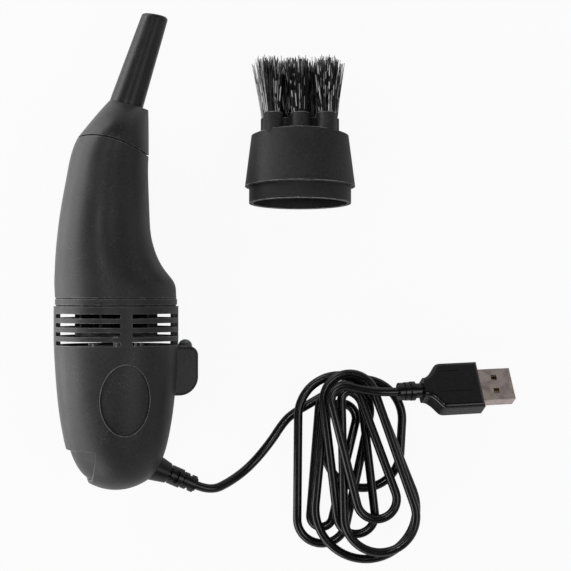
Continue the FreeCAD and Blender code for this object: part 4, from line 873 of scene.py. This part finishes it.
@dataclass
class BrushHead:
    """The brush head: its moulded body and its seven tufts of nylon filament.

    Lengths are in millimetres and angles in degrees. A strand's wander is the spread of a
    random draw. Its painted highlight is next to none near 0, painted in streaks up to 1, and
    painted pale all along past it.
    """

    place: tuple = (5.1, 34.6, 12.36)
    tilt: float = 8.5
    boss_end: float = 25.2
    bury: float = 2.6
    front: tuple = (-9.4, 0.0, 9.4)
    back: tuple = (-10.5, -3.5, 3.5, 10.5)
    row: float = 4.3
    root_radius: float = 2.4
    strand: float = 0.34
    strands: int = 130
    sides: int = 5
    rings: int = 5
    tip: float = 0.55
    length: float = 19.4
    trim: tuple = (-0.01, 0.022)
    stray: tuple = (0.02, 1.08)
    flare: float = 0.05
    rise: float = 0.04
    rise_wander: float = 0.012
    bulge: float = 0.9
    fan: float = 1.5
    lean: float = -2.0
    lean_wander: float = 1.5
    bow: tuple = (0.6, 0.3)
    glinting: float = 0.3
    streaked_painted_glints: tuple = (0.6, 1.0)
    faint_painted_glints: tuple = (0.0, 0.08)
    whole_glint_margin: float = 1.5
    whole_glint_chance: float = 0.6
    whole_painted_glints: tuple = (1.35, 1.75)
    rest_lean: float = 7.0
    clear: float = 0.12

    def build(self) -> None:
        """Dresses the body and plants the tufts."""
        Stock.BRUSH.on("brush_body")
        chance = random.Random(11)
        master = self.filament()
        turn = Matrix.Rotation(math.radians(-self.tilt), 4, "X")
        shift = Matrix.Translation(Vector(self.place[:2] + (self.rest_height(),)))
        tufts = []
        rows = [(across, self.row) for across in self.front]
        rows += [(across, -self.row) for across in self.back]
        for number, (across, height) in enumerate(rows):
            tuft = self.tuft(master, across, height, chance, shift @ turn)
            tuft.name = tuft.data.name = "bristle_tuft_" + str(number + 1)
            tufts.append(tuft)
        bpy.data.objects.remove(master)
        for tuft in tufts:
            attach(tuft, "brush_head")
        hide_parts("bristle_tufts")

    def rest_height(self) -> float:
        """The height of the head's axis where its rim rests on the floor."""
        return self.place[2] * math.cos(math.radians(self.tilt))

    def filament(self) -> bpy.types.Object:
        """One straight filament, a unit long, along Y.

        Returns:
            A five-sided rod with a narrowed tip, for the tufts to copy.
        """
        deselect()
        bpy.ops.mesh.primitive_circle_add(vertices=self.sides, radius=self.strand / 2,
                                          rotation=(math.pi / 2, 0.0, 0.0))
        piece = bpy.context.active_object
        settle(piece)
        bpy.ops.object.mode_set(mode="EDIT")
        bpy.ops.mesh.select_all(action="SELECT")
        for _ in range(self.rings):
            bpy.ops.mesh.extrude_region_move(
                TRANSFORM_OT_translate={"value": (0.0, 1 / self.rings, 0.0)})
        bpy.ops.transform.resize(value=(self.tip, 1.0, self.tip))
        bpy.ops.mesh.edge_face_add()
        bpy.ops.mesh.select_all(action="SELECT")
        bpy.ops.mesh.normals_make_consistent(inside=False)
        bpy.ops.object.mode_set(mode="OBJECT")
        return piece

    def tuft(self, master: bpy.types.Object, across: float, height: float,
             chance: random.Random, place: Matrix) -> bpy.types.Object:
        """Copies the filament into one fanned tuft.

        Args:
            master: the filament.
            across: the boss's place along the head's wide way.
            height: the boss's place along its narrow way.
            chance: the source of the strands' spread.
            place: carries the head's own frame to picture millimetres.

        Returns:
            The tuft as one mesh.
        """
        copies = []
        lift = math.tan(math.radians(self.rest_lean)) if height < 0 else 0.0
        for number in range(self.strands):
            angle = GOLDEN_ANGLE * number
            reach = math.sqrt((number + 0.5) / self.strands)
            out = Vector((math.cos(angle), 0.0, math.sin(angle)))
            foot = Vector((across, self.boss_end - self.bury, height))
            foot += out * self.root_radius * reach
            spread = math.radians(self.lean + self.fan * across / self.front[-1]
                                  + chance.gauss(0.0, self.lean_wander))
            way = Vector((math.sin(spread) + self.flare * reach * math.cos(angle),
                          math.cos(spread),
                          lift + self.rise * reach * math.sin(angle)
                          + chance.gauss(0.0, self.rise_wander)))
            bow = Vector((chance.gauss(0.0, self.bow[0]), 0.0, chance.gauss(0.0, self.bow[1])))
            stray = self.stray[1] if chance.random() < self.stray[0] else 1.0
            long = self.bury + self.length * stray * (1 + chance.gauss(*self.trim))
            copy = master.copy()
            copy.data = master.data.copy()
            # Painted highlight: streaked on a share of strands, whole on outer left ones, faint on
            # the rest
            glints = chance.random() < self.glinting
            painted_highlight = chance.uniform(*(self.streaked_painted_glints if glints else self.faint_painted_glints))
            if foot.x < self.front[0] - self.whole_glint_margin and chance.random() < self.whole_glint_chance:
                painted_highlight = chance.uniform(*self.whole_painted_glints)
            mark = copy.data.attributes.new("strand_tone", "FLOAT", "POINT")
            for vertex in copy.data.vertices:
                along = vertex.co.y
                local = foot + Vector((vertex.co.x, 0.0, vertex.co.z)) + way * long * along
                local += out * self.bulge * reach * math.sqrt(max(0.0, along))
                spot = place @ (local + bow * along * along)
                spot.z = max(spot.z, self.clear)
                vertex.co = at(*spot)
                mark.data[vertex.index].value = painted_highlight
            bpy.context.scene.collection.objects.link(copy)
            copies.append(copy)
        deselect()
        for copy in copies:
            copy.select_set(True)
        bpy.context.view_layer.objects.active = copies[0]
        bpy.ops.object.join()
        bpy.ops.object.shade_smooth()
        copies[0].data.materials.clear()
        copies[0].data.materials.append(Stock.BRISTLE.value.material())
        return copies[0]


# Motor unit, duct and plug

@dataclass
class MotorUnit:
    """The barrel that is held in the hand, with all that turns and switches inside it.

    The pad's turn is in degrees round the barrel's axis, and its other sizes in millimetres.
    """

    axis: tuple = (-58.35, -4.58, 20.95)
    pad_turn: float = 15.0
    pad_middle: float = 33.9
    pad_half: tuple = (8.5, 12.05)
    bead: float = 0.17
    bead_points: int = 72

    def build(self) -> None:
        """Lays the thin bead round the oval pad."""
        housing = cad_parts["upper_housing"]
        lean = math.radians(self.pad_turn)
        up = Vector((math.sin(lean), 0.0, math.cos(lean)))
        side = Vector((math.cos(lean), 0.0, -math.sin(lean)))
        into = housing.matrix_world.inverted()
        line = bpy.data.curves.new("pad_bead", "CURVE")
        line.dimensions = "3D"
        line.bevel_depth = self.bead * MM
        line.bevel_resolution = 2
        spline = line.splines.new("POLY")
        spline.points.add(self.bead_points - 1)
        for number, point in enumerate(spline.points):
            angle = 2 * math.pi * number / self.bead_points
            along = -self.pad_middle + self.pad_half[1] * math.sin(angle)
            foot = at(*self.axis) + (side * self.pad_half[0] * math.cos(angle)
                                     + Vector((0.0, along, 0.0))) * MM
            start = foot + up * 2 * self.axis[2] * MM
            found, spot, _, _ = housing.ray_cast(into @ start, into.to_3x3() @ -up)
            point.co = (*(housing.matrix_world @ spot if found else foot), 1.0)
        spline.use_cyclic_u = True
        piece = bpy.data.objects.new("pad_bead", line)
        bpy.context.scene.collection.objects.link(piece)
        hold(piece)
        bpy.ops.object.convert(target="MESH")
        bpy.ops.object.shade_smooth()
        piece.data.materials.append(Stock.WORN.value.material())
        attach(piece, "motor_unit")

    def dress(self) -> None:
        """Gives each part its finish."""
        Stock.BODY.on("upper_housing", "lower_housing", "lamp_housing", "power_button")
        Stock.INNER.on("inlet_plate", "impeller", "motor_bracket", "switch_body")
        Stock.WHITE.on("motor_end_cap", "switch_plunger")
        Stock.STEEL.on("housing_screws", "motor_screws", "motor_can", "motor_shaft", "led_leads")
        Stock.LAMINATE.on("armature_core")
        Stock.COPPER.on("armature_windings")
        Stock.GOLD.on("motor_terminals", "commutator")
        Stock.BRONZE.on("motor_bushes")
        Stock.FERRITE.on("motor_magnets")
        Stock.BOARD.on("circuit_board")
        Stock.RESISTOR.on("lamp_resistor")
        Stock.LAMP.on("led_lamp")
        Stock.WIRE.on("lead_wires")
        Stock.BOOT.on("strain_relief")


@dataclass
class FrontDuct:
    """The bent duct with its flared foot, the filter in it, and the nozzle on its mouth.

    Sizes are in millimetres. The dome's last ring stops a share of a ring short of the crown,
    and is drawn together to close it.
    """

    cloth: float = 0.5
    slack: float = 0.06
    straight: float = 4.2
    rings: int = 12
    crown: float = 0.5
    around: int = 64

    def profile(self, radius: float, height: float) -> list[tuple[float, float]]:
        """The dome's outline from its rim to its crown.

        Args:
            radius: the rim's radius.
            height: the crown's height over the rim.

        Returns:
            Pairs of a height over the rim and a radius.
        """
        outline = [(0.0, radius), (self.straight * MM, radius)]
        for step in range(1, self.rings + 1):
            angle = math.pi / 2 * step / (self.rings + self.crown)
            rise = (height - self.straight * MM) * math.sin(angle)
            outline.append((self.straight * MM + rise, radius * math.cos(angle)))
        return outline

    def build(self) -> None:
        """Forms the filter's cloth dome from one circle, ring by ring."""
        low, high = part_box("filter_bag")
        radius = (high[0] - low[0]) / 2 - self.slack * MM
        outline = self.profile(radius, high[1] - low[1] - self.slack * MM)
        deselect()
        bpy.ops.mesh.primitive_circle_add(
            vertices=self.around, radius=radius, rotation=(math.pi / 2, 0.0, 0.0),
            location=((low[0] + high[0]) / 2, low[1], (low[2] + high[2]) / 2))
        piece = bpy.context.active_object
        piece.name = piece.data.name = "filter_cloth_dome"
        settle(piece)
        bpy.ops.object.mode_set(mode="EDIT")
        bpy.ops.mesh.select_all(action="SELECT")
        for before, after in zip(outline, outline[1:]):
            bpy.ops.mesh.extrude_region_move(
                TRANSFORM_OT_translate={"value": (0.0, after[0] - before[0], 0.0)})
            shrink = after[1] / before[1]
            bpy.ops.transform.resize(value=(shrink, 1.0, shrink))
        bpy.ops.mesh.merge(type="COLLAPSE")
        bpy.ops.mesh.select_all(action="SELECT")
        bpy.ops.mesh.normals_make_consistent(inside=False)
        bpy.ops.object.mode_set(mode="OBJECT")
        wall = piece.modifiers.new("cloth", "SOLIDIFY")
        wall.thickness = self.cloth * MM
        wall.offset = -1.0
        bpy.ops.object.modifier_apply(modifier=wall.name)
        bpy.ops.object.shade_smooth()
        piece.data.materials.append(Stock.CLOTH.value.material())
        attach(piece, "motor_unit")
        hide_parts("filter_bag")

    def dress(self) -> None:
        """Gives each part its finish."""
        Stock.BODY.on("front_housing", "nozzle_adapter")
        Stock.NOZZLE.on("nozzle_tube")
        Stock.INNER.on("filter_frame")


@dataclass
class Plug:
    """The plug at the cord's end."""

    def dress(self) -> None:
        """Gives each part its finish."""
        Stock.PLUG.on("plug_overmold")
        Stock.SHELL.on("plug_shell")
        Stock.WHITE.on("plug_tongue")
        Stock.GOLD.on("plug_contacts")


def main() -> None:
    """Builds the studio, the cord and each sub-assembly."""
    logging.basicConfig(level=logging.INFO)
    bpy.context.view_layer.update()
    Studio().build()
    PowerCord().build()
    log.info("cord laid")
    Plug().dress()
    log.info("plug dressed")
    motor = MotorUnit()
    motor.dress()
    motor.build()
    log.info("motor unit dressed, pad bead laid")
    duct = FrontDuct()
    duct.dress()
    duct.build()
    log.info("front duct dressed, filter cloth formed")
    BrushHead().build()
    log.info("brush head built")


if __name__ == "__main__":
    main()
